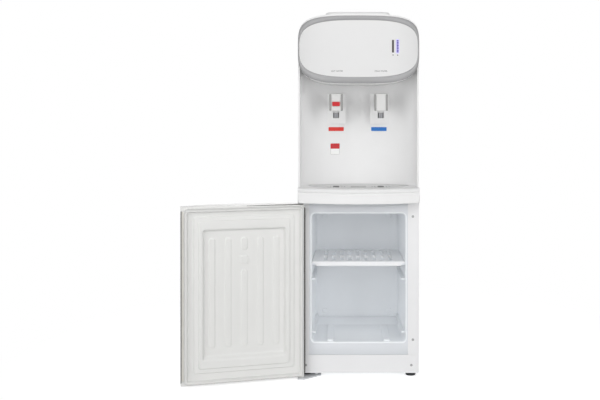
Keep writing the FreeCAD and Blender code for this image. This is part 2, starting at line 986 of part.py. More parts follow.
def control_board():
    """Make the board that stands on the housing's bosses."""
    return box(board_x, (at(board_depth), at(board_depth + board_gauge)), board_z)


def display_panel():
    """Make the oval light panel, pierced for the two light bars."""
    oval = oval_block(screen_half_width, screen_low_z, screen_high_z, screen_powers)
    panel = oval.common(head_shell(trim_gap, trim_gap + screen_rise))
    for block in bar_blocks(trim_gap):
        panel = panel.cut(block)
    return panel


def display_bezel():
    """Make the oval ring round the light panel."""
    outer = oval_block(bezel_half_width, head_bottom_z, head_top_z, hood_powers)
    low = screen_low_z - trim_gap
    high = screen_high_z + trim_gap
    inner = oval_block(screen_half_width + trim_gap, low, high, screen_powers)
    return outer.cut(inner).common(head_shell(trim_gap, trim_gap + bezel_rise))


def indicator_bars():
    """Make the two light pipes of the display."""
    layer = head_shell(trim_gap, trim_gap + screen_rise)
    return group([block.common(layer) for block in bar_blocks(0)])


def top_cover():
    """Mould the round-shouldered top with a flat seat and hole for the bottle collar."""
    behind_head = box(
        (-far, far), (at(return_back_depth) + seam, rear_y), (hood_seam_z + seam, far)
    )
    low = (0, bottle_y, hood_high_z - seat_drop)
    top = (0, bottle_y, seat_top_z)
    seat = rod(collar_radius + seat_margin, low, top)
    hole = rod(bowl_top_radius + collar_wall + funnel_hole_gap, low, top)
    return join(hood_shell().common(behind_head), seat).cut(hole)


def neck_low_z():
    """Height of the lower end of the bottle neck bore."""
    return collar_top_z - collar_wall - bowl_drop - neck_length


def bottle_collar():
    """Turn the bottle seat: a raised collar, a sloping bowl and the neck bore."""
    neck_top = neck_low_z() + neck_length
    neck_outer = neck_radius + neck_wall
    bowl_z = collar_top_z - collar_wall
    profile = [
        (neck_radius, neck_low_z()),
        (neck_radius, neck_top),
        (bowl_top_radius, bowl_z),
        (bowl_top_radius, collar_top_z),
        (collar_radius - collar_round, collar_top_z),
        (collar_radius, collar_top_z - collar_round),
        (collar_radius, seat_top_z),
        (bowl_top_radius + collar_wall, seat_top_z),
        (bowl_top_radius + collar_wall, bowl_z - 2 * collar_wall),
        (neck_outer, neck_top - 2 * collar_wall),
        (neck_outer, neck_low_z()),
    ]
    return lathe(profile, 0, bottle_y)


def tube_routes():
    """Give the routes of the water tubes by name."""
    spigot_y = at(tap_spigot_end)
    cold_y = at(cold_tube_depth)
    hot_y = at(hot_tube_depth)
    return {
        "cold": [
            (tap_x, spigot_y, tap_axis_z),
            (tap_x, cold_y, tap_axis_z),
            (tap_x, cold_y, cold_tank_low_z),
        ],
        "hot": [
            (-tap_x, spigot_y, tap_axis_z),
            (-tap_x, hot_y, tap_axis_z),
            (-tap_x, hot_y, hot_tank_high_z),
        ],
        "feed": [(feed_x, hot_y, cold_tank_low_z), (feed_x, hot_y, hot_tank_high_z)],
        "drain": [
            (hot_tank_x + hot_tank_radius, hot_tank_y, drain_z),
            (drain_x, hot_tank_y, drain_z),
            (drain_x, back_y + drain_reach, drain_z),
        ],
    }


def tube_holes():
    """Make the clearance round every water tube as one list of cutters."""
    radius = tube_radius + tube_hole_gap
    return [bent_rod(route, tube_bend, radius) for route in tube_routes().values()]


def water_tubes():
    """Make the silicone tubes between tanks and taps."""
    routes = tube_routes()
    names = ("cold", "hot", "feed")
    return group([bent_tube(routes[name], tube_bend, tube_radius, tube_bore) for name in names])


def drain_tube():
    """Make the drain tube from the hot tank through the back panel."""
    return bent_tube(tube_routes()["drain"], tube_bend, tube_radius, tube_bore)


def drain_cap():
    """Make the cap on the drain's end, seated on the back panel."""
    start = back_y + sheet
    end = start + drain_cap_length
    cap = rod(drain_cap_radius, (drain_x, start, drain_z), (drain_x, end, drain_z))
    bore_end = back_y + drain_reach
    bore = rod(tube_radius + trim_gap, (drain_x, start, drain_z), (drain_x, bore_end, drain_z))
    return cap.cut(bore)


def cold_tank():
    """Turn the cold tank, its top open round the bottle neck."""
    outer = cold_tank_radius
    inner = outer - cold_tank_wall
    mouth = neck_radius + neck_wall + cold_neck_gap
    profile = [
        (0, cold_tank_low_z),
        (outer, cold_tank_low_z),
        (outer, cold_tank_high_z),
        (mouth, cold_tank_high_z),
        (mouth, cold_tank_high_z - cold_tank_wall),
        (inner, cold_tank_high_z - cold_tank_wall),
        (inner, cold_tank_low_z + cold_tank_wall),
        (0, cold_tank_low_z + cold_tank_wall),
    ]
    return lathe(profile, 0, bottle_y)


def coil_radius():
    """Radius of the evaporator coil's centre line."""
    return cold_tank_radius + coil_gap + coil_tube_radius


def tangent_arc(start, tangent, end):
    """Make the arc that leaves a point along a tangent and ends at another point."""
    chord = end - start
    along = Vector(chord).normalize()
    bulge = (tangent - along * tangent.dot(along)).normalize()
    rise = chord.Length / 2 * math.tan(tangent.getAngle(chord) / 2)
    return Part.Arc(start, (start + end) / 2 + bulge * rise, end).toShape()


def helix_arcs(radius, pitch, turns):
    """Follow a helix with two tangent arcs in each quarter turn."""
    edges = []
    quarter = math.pi / 2
    slope = pitch / (2 * math.pi)
    states = []
    for step in range(4 * turns + 1):
        angle = step * quarter
        point = Vector(radius * math.cos(angle), radius * math.sin(angle), slope * angle)
        tangent = Vector(-radius * math.sin(angle), radius * math.cos(angle), slope).normalize()
        states.append((point, tangent))
    for (start, leave), (end, arrive) in zip(states, states[1:]):
        span = end - start
        spread = 2 * (1 - leave.dot(arrive))
        reach = span.dot(leave + arrive)
        arm = (math.sqrt(reach ** 2 + spread * span.dot(span)) - reach) / spread
        joint = (start + end + (leave - arrive) * arm) / 2
        edges.append(tangent_arc(start, leave, joint))
        middle_tangent = (end - start - (leave + arrive) * arm).normalize()
        edges.append(tangent_arc(joint, middle_tangent, end))
    return Part.Wire(edges)


def evaporator_coil():
    """Wind the evaporator tube round the cold tank."""
    radius = coil_radius()
    path = helix_arcs(radius, coil_pitch, coil_turns)
    slope = coil_pitch / (2 * math.pi)
    circle = Part.makeCircle(coil_tube_radius, Vector(radius, 0, 0), Vector(0, radius, slope))
    coil = Part.Solid(path.makePipeShell([Part.Wire(circle)], True, False))
    coil.translate(Vector(0, bottle_y, coil_low_z))
    return coil


def cold_tank_jacket():
    """Mould the foam jacket round the cold tank and its coil."""
    bore = coil_radius() + coil_tube_radius + jacket_gap
    profile = [
        (0, tank_shelf_top_z),
        (cold_jacket_radius, tank_shelf_top_z),
        (cold_jacket_radius, cold_tank_high_z),
        (bore, cold_tank_high_z),
        (bore, cold_tank_low_z),
        (0, cold_tank_low_z),
    ]
    jacket = lathe(profile, 0, bottle_y)
    return jacket.cut(group(tube_holes()))


def tank_shelf():
    """Make the sheet shelf behind the head's floor, under the cold tank."""
    plate = box(
        (-inner_half_width, inner_half_width),
        (at(tank_shelf_front), back_y),
        (tank_shelf_top_z - tank_shelf_gauge, tank_shelf_top_z),
    )
    return plate.cut(group(tube_holes() + line_holes()))


def tank_deck():
    """Make the sheet deck over the liner, under the hot tank."""
    deck = box(
        (-inner_half_width, inner_half_width),
        (at(return_back_depth) + seam, back_y),
        (deck_z, deck_top_z),
    )
    return deck.cut(group(line_holes()))


def hot_tank():
    """Turn the closed hot tank."""
    tank = rod(
        hot_tank_radius, (hot_tank_x, hot_tank_y, hot_tank_low_z), (hot_tank_x, hot_tank_y, hot_tank_high_z)
    )
    inner = rod(
        hot_tank_radius - hot_tank_wall,
        (hot_tank_x, hot_tank_y, hot_tank_low_z + hot_tank_wall),
        (hot_tank_x, hot_tank_y, hot_tank_high_z - hot_tank_wall),
    )
    return tank.cut(inner)


def hot_tank_jacket():
    """Mould the jacket under and round the hot tank."""
    profile = [
        (0, deck_top_z),
        (hot_jacket_radius, deck_top_z),
        (hot_jacket_radius, hot_tank_high_z),
        (hot_jacket_bore, hot_tank_high_z),
        (hot_jacket_bore, hot_tank_low_z),
        (0, hot_tank_low_z),
    ]
    return lathe(profile, hot_tank_x, hot_tank_y).cut(group(tube_holes()))


def heater_band():
    """Make the band heater clamped round the hot tank."""
    inner = hot_tank_radius + heater_gap
    return pipe(
        inner + heater_gauge,
        inner,
        (hot_tank_x, hot_tank_y, heater_low_z),
        (hot_tank_x, hot_tank_y, heater_high_z),
    )


def hot_thermostat():
    """Make the cut-out thermostat on top of the hot tank."""
    x = hot_tank_x
    y = hot_tank_y + thermostat_offset
    return rod(thermostat_radius, (x, y, hot_tank_high_z), (x, y, hot_tank_high_z + thermostat_height))


def tap_body(side):
    """Make a tap's barrel, flange, valve head and pivot ear."""
    x = side * tap_x
    z = tap_axis_z
    barrel = rod(tap_barrel_radius, (x, at(tap_depth), z), (x, at(tap_thread_end), z))
    flange = rod(tap_flange_radius, (x, at(pad_depth - tap_flange_gauge), z), (x, at(pad_depth), z))
    spigot = rod(tap_spigot_radius, (x, at(tap_thread_end), z), (x, at(tap_spigot_end), z))
    head = rod(tap_head_radius, (x, at(tap_depth), tap_head_low_z), (x, at(tap_depth), tap_head_high_z))
    ear = box(
        (x - ear_half_width, x + ear_half_width),
        (pivot_y - ear_half_depth, pivot_y + ear_half_depth),
        (tap_axis_z, pivot_z + ear_half_depth),
    )
    body = join(barrel, flange, spigot, head, ear)
    pin_hole = rod(pivot_radius + running_gap, (x - far, pivot_y, pivot_z), (x + far, pivot_y, pivot_z))
    way = rod(tube_bore, (x, at(tap_depth), z), (x, at(tap_spigot_end), z))
    drop = rod(nozzle_bore, (x, at(tap_depth), tap_head_low_z), (x, at(tap_depth), z))
    return body.cut(group([pin_hole])).cut(way).cut(drop)


def tap_nozzles():
    """Make the two bright nozzles under the valve heads."""
    nozzles = []
    for side in (-1, 1):
        x = side * tap_x
        y = at(tap_depth)
        nozzles.append(pipe(nozzle_radius, nozzle_bore, (x, y, nozzle_low_z), (x, y, tap_head_low_z)))
    return group(nozzles)


def tap_nuts():
    """Make the hexagon nuts that clamp the taps behind the alcove wall."""
    nuts = []
    radius = tap_nut_flats / math.sqrt(3)
    for side in (-1, 1):
        x = side * tap_x
        corners = []
        for corner in range(6):
            angle = math.pi / 3 * corner
            corners.append(
                (x + radius * math.cos(angle), at(tap_nut_depth), tap_axis_z + radius * math.sin(angle))
            )
        nut = polygon_face(corners).extrude(Vector(0, tap_nut_gauge, 0))
        bore = rod(tap_barrel_radius + running_gap, (x, at(0), tap_axis_z), (x, far, tap_axis_z))
        nuts.append(nut.cut(bore))
    return group(nuts)


def tap_lever(side):
    """Make a push lever: face plate, top and two cheeks hung on the pivot pin."""
    x = side * tap_x
    across = (x - lever_half_width, x + lever_half_width)
    face = box(across, (at(0), at(lever_gauge)), (lever_low_z, lever_high_z))
    roof = box(across, (at(0), at(lever_cheek_depth)), (lever_high_z - lever_cheek, lever_high_z))
    cheek_y = (at(0), at(lever_cheek_depth))
    cheek_z = (lever_cheek_low_z, lever_high_z)
    cheeks = [
        box((across[0], across[0] + lever_cheek), cheek_y, cheek_z),
        box((across[1] - lever_cheek, across[1]), cheek_y, cheek_z),
    ]
    lever = join(face, roof, *cheeks)
    corners = [
        edge
        for edge in lever.Edges
        if edge.BoundBox.YMax < at(lever_gauge / 2) and edge.BoundBox.YLength < running_gap
    ]
    lever = lever.makeFillet(lever_cheek / 2, corners)
    pin_hole = rod(pivot_radius + running_gap, (x - far, pivot_y, pivot_z), (x + far, pivot_y, pivot_z))
    return lever.cut(pin_hole)


def button_block(grow, front, back):
    """Make the lock button's block between two depths."""
    return box(
        (-tap_x - button_half_width - grow, -tap_x + button_half_width + grow),
        (at(front), at(back)),
        (button_low_z - grow, button_high_z + grow),
    )


def hot_tap_lever():
    """Make the hot lever with the window for its lock button."""
    return tap_lever(-1).cut(button_block(button_gap, -lever_gauge, 2 * lever_gauge))


def hot_lock_button():
    """Make the child-lock button in the hot lever."""
    return button_block(0, -button_rise, lever_gauge)


def tap_lever_pins():
    """Make the two lever pivot pins."""
    pins = []
    for side in (-1, 1):
        x = side * tap_x
        reach = lever_half_width
        pins.append(rod(pivot_radius, (x - reach, pivot_y, pivot_z), (x + reach, pivot_y, pivot_z)))
    return group(pins)


def drip_tray():
    """Mould the lens-shaped tray with its rim and the posts under the grille."""
    rim_low = alcove_floor_z + rest_gap
    rim_high = rim_low + tray_rim_height
    basin = tray_lens(tray_rim_width, tray_floor_z, rim_high)
    rim = tray_lens(0, rim_low, rim_high)
    cavity = tray_lens(tray_rim_width + tray_wall, tray_floor_z + tray_wall, rim_high)
    pieces = [join(basin, rim).cut(cavity)]
    post_top = grille_top_z - grille_gauge - rest_gap
    for x in (-tray_post_x, 0, tray_post_x):
        y = at(tray_post_depth)
        pieces.append(rod(tray_post_radius, (x, y, tray_floor_z), (x, y, post_top)))
    return join(*pieces)


def drip_grille():
    """Make the grille: a plain plate with a long drain under each tap and short slots beside it."""
    low = grille_top_z - grille_gauge
    plate = tray_lens(tray_rim_width + tray_wall + grille_gap, low, grille_top_z)
    near = at(tap_depth - grille_drain_reach)
    far_end = at(tap_depth + grille_drain_reach)
    slot_y = (at(tap_depth - grille_slot_length / 2), at(tap_depth + grille_slot_length / 2))
    holes = []
    for side in (-1, 1):
        x = side * tap_x
        drain_x = (x - grille_drain_radius, x + grille_drain_radius)
        ends = [rod(grille_drain_radius, (x, y, low), (x, y, grille_top_z)) for y in (near, far_end)]
        holes.append(join(box(drain_x, (near, far_end), (low, grille_top_z)), *ends))
        for offset in grille_slot_offsets:
            for middle in (x - offset, x + offset):
                slot_x = (middle - grille_slot_width / 2, middle + grille_slot_width / 2)
                holes.append(box(slot_x, slot_y, (low, grille_top_z)))
    return plate.cut(group(holes))


def door_bow_radius():
    """Radius of the door's bowed face from its middle and edge depths."""
    rise = door_edge_depth - door_front_depth
    return (door_half_width ** 2 + rise ** 2) / (2 * rise)


def door_block(shrink, back, low, high):
    """Make the bowed plan of the door between two heights, shrunk by a wall."""
    drum = bow(door_bow_radius() - shrink, door_front_depth + shrink, low, high)
    half = door_half_width - shrink
    return drum.common(box((-half, half), (at(2 * door_front_depth), at(back)), (low, high)))


def swing(shape):
    """Turn a door piece from closed to the open pose."""
    return shape.rotated(Vector(hinge_x, hinge_y, 0), Vector(0, 0, -1), door_open_angle)


def shifted_sheet(shape):
    """Move a piece of the inner sheet from the door's middle towards the hinge."""
    return shape.translated(Vector(door_sheet_shift, 0, 0))


def door_back():
    """Depth of the back of the door's skin and caps."""
    return door_liner_depth - door_liner_gauge


def door_skin():
    """Bend the bowed outer skin with its side returns."""
    low = door_low_z + door_cap_height
    high = door_high_z - door_cap_height
    shell = door_block(0, door_back(), low, high)
    return shell.cut(door_block(door_skin_gauge, 0, low, high))


def door_core():
    """Fill the door with foam between skin and liner."""
    low = door_low_z + door_cap_height + seam
    high = door_high_z - door_cap_height - seam
    block = door_block(door_skin_gauge + seam, door_back() - seam, low, high)
    pocket = rounded_slab(
        recess_half_width + door_skin_gauge,
        recess_low_z - door_skin_gauge,
        recess_high_z + door_skin_gauge,
        recess_radius,
        door_recess_floor() - door_liner_gauge - seam,
        0,
    )
    return block.cut(shifted_sheet(pocket))


def bush_holes():
    """Make the two holes that take the hinge bushes in the door's ends."""
    radius = bush_radius + bush_gap
    holes = []
    for low in (door_low_z, door_high_z - door_cap_height):
        holes.append(rod(radius, (hinge_x, hinge_y, low), (hinge_x, hinge_y, low + door_cap_height)))
    return group(holes)


def door_cap(low):
    """Mould one end cap of the door."""
    cap = door_block(0, door_back(), low, low + door_cap_height)
    return cap.cut(bush_holes())


def hinge_bushes():
    """Turn the two flanged hinge bushes in the door caps."""
    bore = hinge_pin_radius + running_gap
    lower = pipe(
        bush_radius, bore, (hinge_x, hinge_y, door_low_z), (hinge_x, hinge_y, door_low_z + door_cap_height)
    )
    flange_low = hinge_seat_z + rest_gap
    flange = pipe(bush_flange_radius, bore, (hinge_x, hinge_y, flange_low), (hinge_x, hinge_y, door_low_z))
    upper_low = (hinge_x, hinge_y, door_high_z - door_cap_height)
    upper = pipe(bush_radius, bore, upper_low, (hinge_x, hinge_y, door_high_z))
    return group([join(lower, flange), upper])


def door_recess_floor():
    """Depth of the floor of the door liner's recess."""
    return door_liner_depth + len(door_step_inset) * door_step_rise - recess_drop


def door_frame():
    """Give half width, low and high of the door liner's outer frame."""
    half = door_half_width - door_frame_inset
    return half, door_low_z + door_frame_low_rise, door_high_z - door_frame_top_drop


def door_rib(x, low, high, floor):
    """Make one round-ended rib standing on the recess floor."""
    foot = floor - door_liner_gauge / 2
    crest = floor + rib_rise
    radius = rib_half_width
    web = box((x - radius, x + radius), (at(foot), at(crest)), (low + radius, high - radius))
    ends = [rod(radius, (x, at(foot), z), (x, at(crest), z)) for z in (low + radius, high - radius)]
    return join(web, *ends)


def door_liner():
    """Form the door's inner sheet: frame, two steps, sloping recess and ribs."""
    half, low, high = door_frame()
    level = door_liner_depth
    pieces = [rounded_slab(half, low, high, recess_radius, level - door_liner_gauge, level)]
    for inset, top_drop in zip(door_step_inset, door_step_top_drop):
        step_half = door_half_width - inset
        pieces.append(
            rounded_slab(
                step_half,
                door_low_z + inset,
                door_high_z - top_drop,
                recess_radius,
                level - door_liner_gauge,
                level + door_step_rise,
            )
        )
        level += door_step_rise
    floor = door_recess_floor()
    pan_half = recess_half_width + door_liner_gauge
    pieces.append(
        rounded_slab(
            pan_half,
            recess_low_z - door_liner_gauge,
            recess_high_z + door_liner_gauge,
            recess_radius,
            floor - door_liner_gauge,
            level,
        )
    )
    mouth = (recess_half_width, recess_low_z, recess_high_z, recess_radius, level)
    bottom = (
        recess_half_width - recess_slope,
        recess_low_z + recess_slope,
        recess_high_z - recess_slope,
        recess_radius,
        floor,
    )
    sheet_shape = join(*pieces).cut(drafted_block(mouth, bottom))
    ribs = []
    for index in range(rib_count):
        x = (index - (rib_count - 1) / 2) * rib_pitch
        spans = [(rib_low_z, rib_high_z)]
        if index == rib_count // 2:
            spans = [(rib_low_z, rib_break_z[0]), (rib_break_z[1], rib_high_z)]
        ribs.extend(door_rib(x, low, high, floor) for low, high in spans)
    return shifted_sheet(join(sheet_shape, *ribs)).cut(bush_holes())


def door_gasket():
    """Mould the soft frame gasket on the door liner's edge."""
    half, low, high = door_frame()
    front = door_liner_depth
    back = front + gasket_height
    ring = rounded_slab(half, low, high, recess_radius, front, back)
    crest_edges = [edge for edge in ring.Edges if edge.BoundBox.YMin > at(back) - seam]
    ring = ring.makeFillet(gasket_round, crest_edges)
    hole = rounded_slab(
        half - gasket_width, low + gasket_width, high - gasket_width, recess_radius, front, back
    )
    return shifted_sheet(ring.cut(hole))


def lower_hinge_plate():
    """Make the lower hinge plate, hung below the base on spacers, with its upright pin."""
    top = foot_height - hinge_plate_drop
    low = top - hinge_plate_gauge
    outline = [
        (-half_width, at(hinge_plate_front)),
        (-half_width + hinge_plate_slant[0], at(hinge_plate_front)),
        (hinge_plate_inner_x, at(hinge_plate_slant[1])),
        (hinge_plate_inner_x, at(hinge_plate_back)),
        (-half_width, at(hinge_plate_back)),
    ]
    plate = polygon_face([(x, y, low) for x, y in outline]).extrude(Vector(0, 0, hinge_plate_gauge))
    pin_top = hinge_seat_z + hinge_pin_length
    pin = rod(hinge_pin_radius, (hinge_x, hinge_y, low), (hinge_x, hinge_y, pin_top))
    shoulder = rod(bush_flange_radius, (hinge_x, hinge_y, low), (hinge_x, hinge_y, hinge_seat_z))
    pieces = [plate, pin, shoulder]
    spacer_x = hinge_plate_inner_x - hinge_spacer_inset
    for depth in hinge_spacer_depths:
        spacer = rod(hinge_spacer_radius, (spacer_x, at(depth), low), (spacer_x, at(depth), foot_height))
        pieces.append(spacer)
    foot_y = at(foot_inset)
    hole_radius = foot_pad_radius + hinge_hole_gap
    foot_hole = rod(hole_radius, (-foot_x, foot_y, 0), (-foot_x, foot_y, foot_height))
    return join(*pieces).cut(foot_hole)


def upper_hinge_plate():
    """Make the upper hinge plate under the deck with its hanging pin."""
    low = deck_z - hinge_plate_gauge
    plate_y = (at(upper_plate_front), at(upper_plate_back))
    plate = box((upper_plate_outer_x, upper_plate_inner_x), plate_y, (low, deck_z))
    pin = rod(
        hinge_pin_radius, (hinge_x, hinge_y, door_high_z - hinge_pin_length), (hinge_x, hinge_y, deck_z)
    )
    return join(plate, pin)


def compressor():
    """Make the compressor: domed shell on a foot plate."""
    x = compressor_x
    y = at(compressor_depth)
    foot_z = compressor_low_z
    shoulder_low = compressor_low_z + compressor_dome
    shoulder_high = compressor_high_z - compressor_dome
    waist = compressor_crown_radius
    profile = [
        (0, compressor_low_z),
        (waist, compressor_low_z),
        (compressor_radius, shoulder_low),
        (compressor_radius, shoulder_high),
        (waist, compressor_high_z),
        (0, compressor_high_z),
    ]
    half = compressor_foot_half
    foot = box((x - half, x + half), (y - half, y + half), (foot_z - compressor_foot_gauge, foot_z))
    return join(lathe(profile, x, y), foot)


def compressor_mounts():
    """Make the four rubber mounts between the foot plate and the base."""
    mounts = []
    low = foot_height + base_gauge
    high = compressor_low_z - compressor_foot_gauge
    for side in (-1, 1):
        for end in (-1, 1):
            x = compressor_x + side * mount_pitch
            y = at(compressor_depth) + end * mount_pitch
            mounts.append(rod(mount_radius, (x, y, low), (x, y, high)))
    return group(mounts)


def condenser_route():
    """Give the serpentine route of the condenser, tail first."""
    y = at(condenser_depth)
    turn = condenser_pass_pitch / 2
    left = condenser_left_x - turn
    right = condenser_right_x + turn
    points = [(left, y, condenser_tail_z)]
    for index in range(condenser_passes):
        z = condenser_low_z + index * condenser_pass_pitch
        ends = (left, right) if index % 2 == 0 else (right, left)
        points.append((ends[0], y, z))
        points.append((ends[1], y, z))
    return points


def condenser_coil():
    """Bend the condenser tube in even passes across the back."""
    return bent_rod(condenser_route(), condenser_bend, condenser_tube_radius)


def condenser_wires():
    """Lay upright wires over the condenser passes."""
    wires = []
    y = at(condenser_depth) + condenser_tube_radius + wire_radius + wire_gap
    middle = (condenser_left_x + condenser_right_x) / 2
    low = condenser_low_z - wire_overhang
    high = condenser_low_z + (condenser_passes - 1) * condenser_pass_pitch + wire_overhang
    for index in range(wire_count):
        x = middle + (index - (wire_count - 1) / 2) * wire_pitch
        wires.append(rod(wire_radius, (x, y, low), (x, y, high)))
    return group(wires)


def condenser_clips():
    """Make the four clips that stand the condenser off the back panel."""
    clips = []
    top_pass = condenser_low_z + (condenser_passes - 1) * condenser_pass_pitch
    away = at(condenser_depth) - condenser_tube_radius - wire_gap
    for x in (condenser_left_x, condenser_right_x):
        for z in (condenser_low_z, top_pass):
            clips.append(
                box(
                    (x - clip_half_width, x + clip_half_width),
                    (back_y + sheet, away),
                    (z - clip_half_height, z + clip_half_height),
                )
            )
    return group(clips)


def drier_x():
    """X of the filter drier, in line with the condenser's tail."""
    return condenser_left_x - condenser_pass_pitch / 2


def drier_low_z():
    """Height of the lower end of the filter drier."""
    return condenser_tail_z - drier_length


def filter_drier():
    """Turn the filter drier below the condenser's tail."""
    high = condenser_tail_z
    low = drier_low_z()
    neck = drier_neck_radius
    profile = [
        (0, low),
        (neck, low),
        (drier_radius, low + drier_neck_length),
        (drier_radius, high - drier_neck_length),
        (neck, high),
        (0, high),
    ]
    return lathe(profile, drier_x(), at(condenser_depth))


def line_routes():
    """Give the routes of the refrigerant lines by name."""
    outer_y = at(condenser_depth)
    inner_y = back_y - line_inset
    left_x = -coil_radius()
    right_x = coil_radius()
    under_tank = cold_tank_low_z - line_drop
    low_bend = drier_low_z() - line_inset
    capillary_x = drier_x() + capillary_shift
    shell_y = at(compressor_depth)
    shell_top = compressor_high_z
    suction_y = bottle_y + suction_offset
    discharge_x = compressor_x + discharge_offset
    inlet = condenser_route()[-1]
    riser_x = inlet[0] + discharge_gap
    suction_z = shell_top + suction_rise
    discharge_z = shell_top + discharge_rise
    return {
        "capillary": [
            (drier_x(), outer_y, drier_low_z()),
            (drier_x(), outer_y, low_bend),
            (capillary_x, inner_y, low_bend),
            (capillary_x, inner_y, under_tank),
            (left_x, bottle_y, under_tank),
            (left_x, bottle_y, tank_shelf_top_z),
        ],
        "suction": [
            (compressor_x, shell_y, shell_top),
            (compressor_x, shell_y, suction_z),
            (suction_x, inner_y, suction_z + suction_sweep),
            (suction_x, inner_y, under_tank),
            (right_x, suction_y, under_tank),
            (right_x, suction_y, tank_shelf_top_z),
        ],
        "discharge": [
            (discharge_x, shell_y, shell_top),
            (discharge_x, shell_y, discharge_z),
            (riser_x, outer_y, discharge_z + discharge_sweep),
            (riser_x, outer_y, inlet[2]),
            inlet,
        ],
    }


def line_holes():
    """Make the clearance round every refrigerant line as cutters."""
    radius = line_radius + line_hole_gap
    return [bent_rod(route, line_bend, radius) for route in line_routes().values()]


def refrigerant_lines():
    """Bend the refrigerant lines between compressor, drier and evaporator."""
    return group([bent_rod(route, line_bend, line_radius) for route in line_routes().values()])


def back_panel():
    """Make the rear sheet with its openings for switches, gland and drain."""
    inner = inner_half_width
    sheet_y = (back_y, back_y + sheet)
    low_sheet = box((-inner, inner), sheet_y, (condenser_tail_z + drier_radius, hood_seam_z))
    high_sheet = box((-inner, inner), sheet_y, (hood_seam_z, hood_high_z))
    panel = join(low_sheet, high_sheet.common(hood_oval(skin + seam, rear_y)))
    for z in switch_z:
        half = switch_well_half_width + switch_wall + trim_gap
        tall = switch_well_half_height + switch_wall + trim_gap
        panel = panel.cut(box((switch_x - half, switch_x + half), sheet_y, (z - tall, z + tall)))
    outside_y = back_y + sheet
    hole_radius = gland_radius + gland_hole_gap
    gland_hole = rod(hole_radius, (gland_x, back_y, gland_z), (gland_x, outside_y, gland_z))
    drain_hole = rod(tube_radius + trim_gap, (drain_x, back_y, drain_z), (drain_x, outside_y, drain_z))
    return panel.cut(gland_hole).cut(drain_hole)


def cord_gland():
    """Turn the gland that holds the mains lead in the back panel."""
    flange_end = back_y + sheet + gland_flange_gauge
    body_start = flange_end - gland_length
    body = rod(gland_radius, (gland_x, body_start, gland_z), (gland_x, flange_end, gland_z))
    flange = rod(gland_flange_radius, (gland_x, back_y + sheet, gland_z), (gland_x, flange_end, gland_z))
    bore = rod(gland_bore, (gland_x, body_start, gland_z), (gland_x, flange_end, gland_z))
    return join(body, flange).cut(bore)


def switch_housing():
    """Mould the two switch frames with their wells and pivot holes."""
    frames = []
    for z in switch_z:
        frame_y = (back_y + sheet, back_y + sheet + switch_frame_gauge)
        wide = switch_frame_half_width
        tall = switch_frame_half_height
        frame = box((switch_x - wide, switch_x + wide), frame_y, (z - tall, z + tall))
        well_half = switch_well_half_width + switch_wall
        well_tall = switch_well_half_height + switch_wall
        well_y = (back_y - switch_well_drop, frame_y[1])
        well = box((switch_x - well_half, switch_x + well_half), well_y, (z - well_tall, z + well_tall))
        opening = box(
            (switch_x - switch_well_half_width, switch_x + switch_well_half_width),
            (well_y[0] + switch_wall, far),
            (z - switch_well_half_height, z + switch_well_half_height),
        )
        seat_radius = trunnion_radius + running_gap
        ends = (switch_x - well_half, switch_x + well_half)
        pivot = rod(seat_radius, (ends[0], rocker_y, z), (ends[1], rocker_y, z))
        frames.append(join(frame, well).cut(opening).cut(pivot))
    return group(frames)


def rocker(z):
    """Make one rocker with its two tilted faces and trunnions, tipped to one side."""
    half = rocker_half_width
    barrel = rod(rocker_radius, (switch_x - half, rocker_y, z), (switch_x + half, rocker_y, z))
    back_cut = box((-far, far), (-far, rocker_y - rocker_back), (0, far))
    shape = barrel.cut(back_cut)
    for tilt in (-rocker_tilt, rocker_tilt):
        front_cut = box((-far, far), (rocker_y + rocker_rise, far), (0, far))
        front_cut.rotate(Vector(0, rocker_y, z), Vector(1, 0, 0), tilt)
        shape = shape.cut(front_cut)
    reach = switch_well_half_width + switch_wall
    trunnion = rod(trunnion_radius, (switch_x - reach, rocker_y, z), (switch_x + reach, rocker_y, z))
    shape = join(shape, trunnion)
    shape.rotate(Vector(0, rocker_y, z), Vector(1, 0, 0), -rocker_tilt)
    return shape


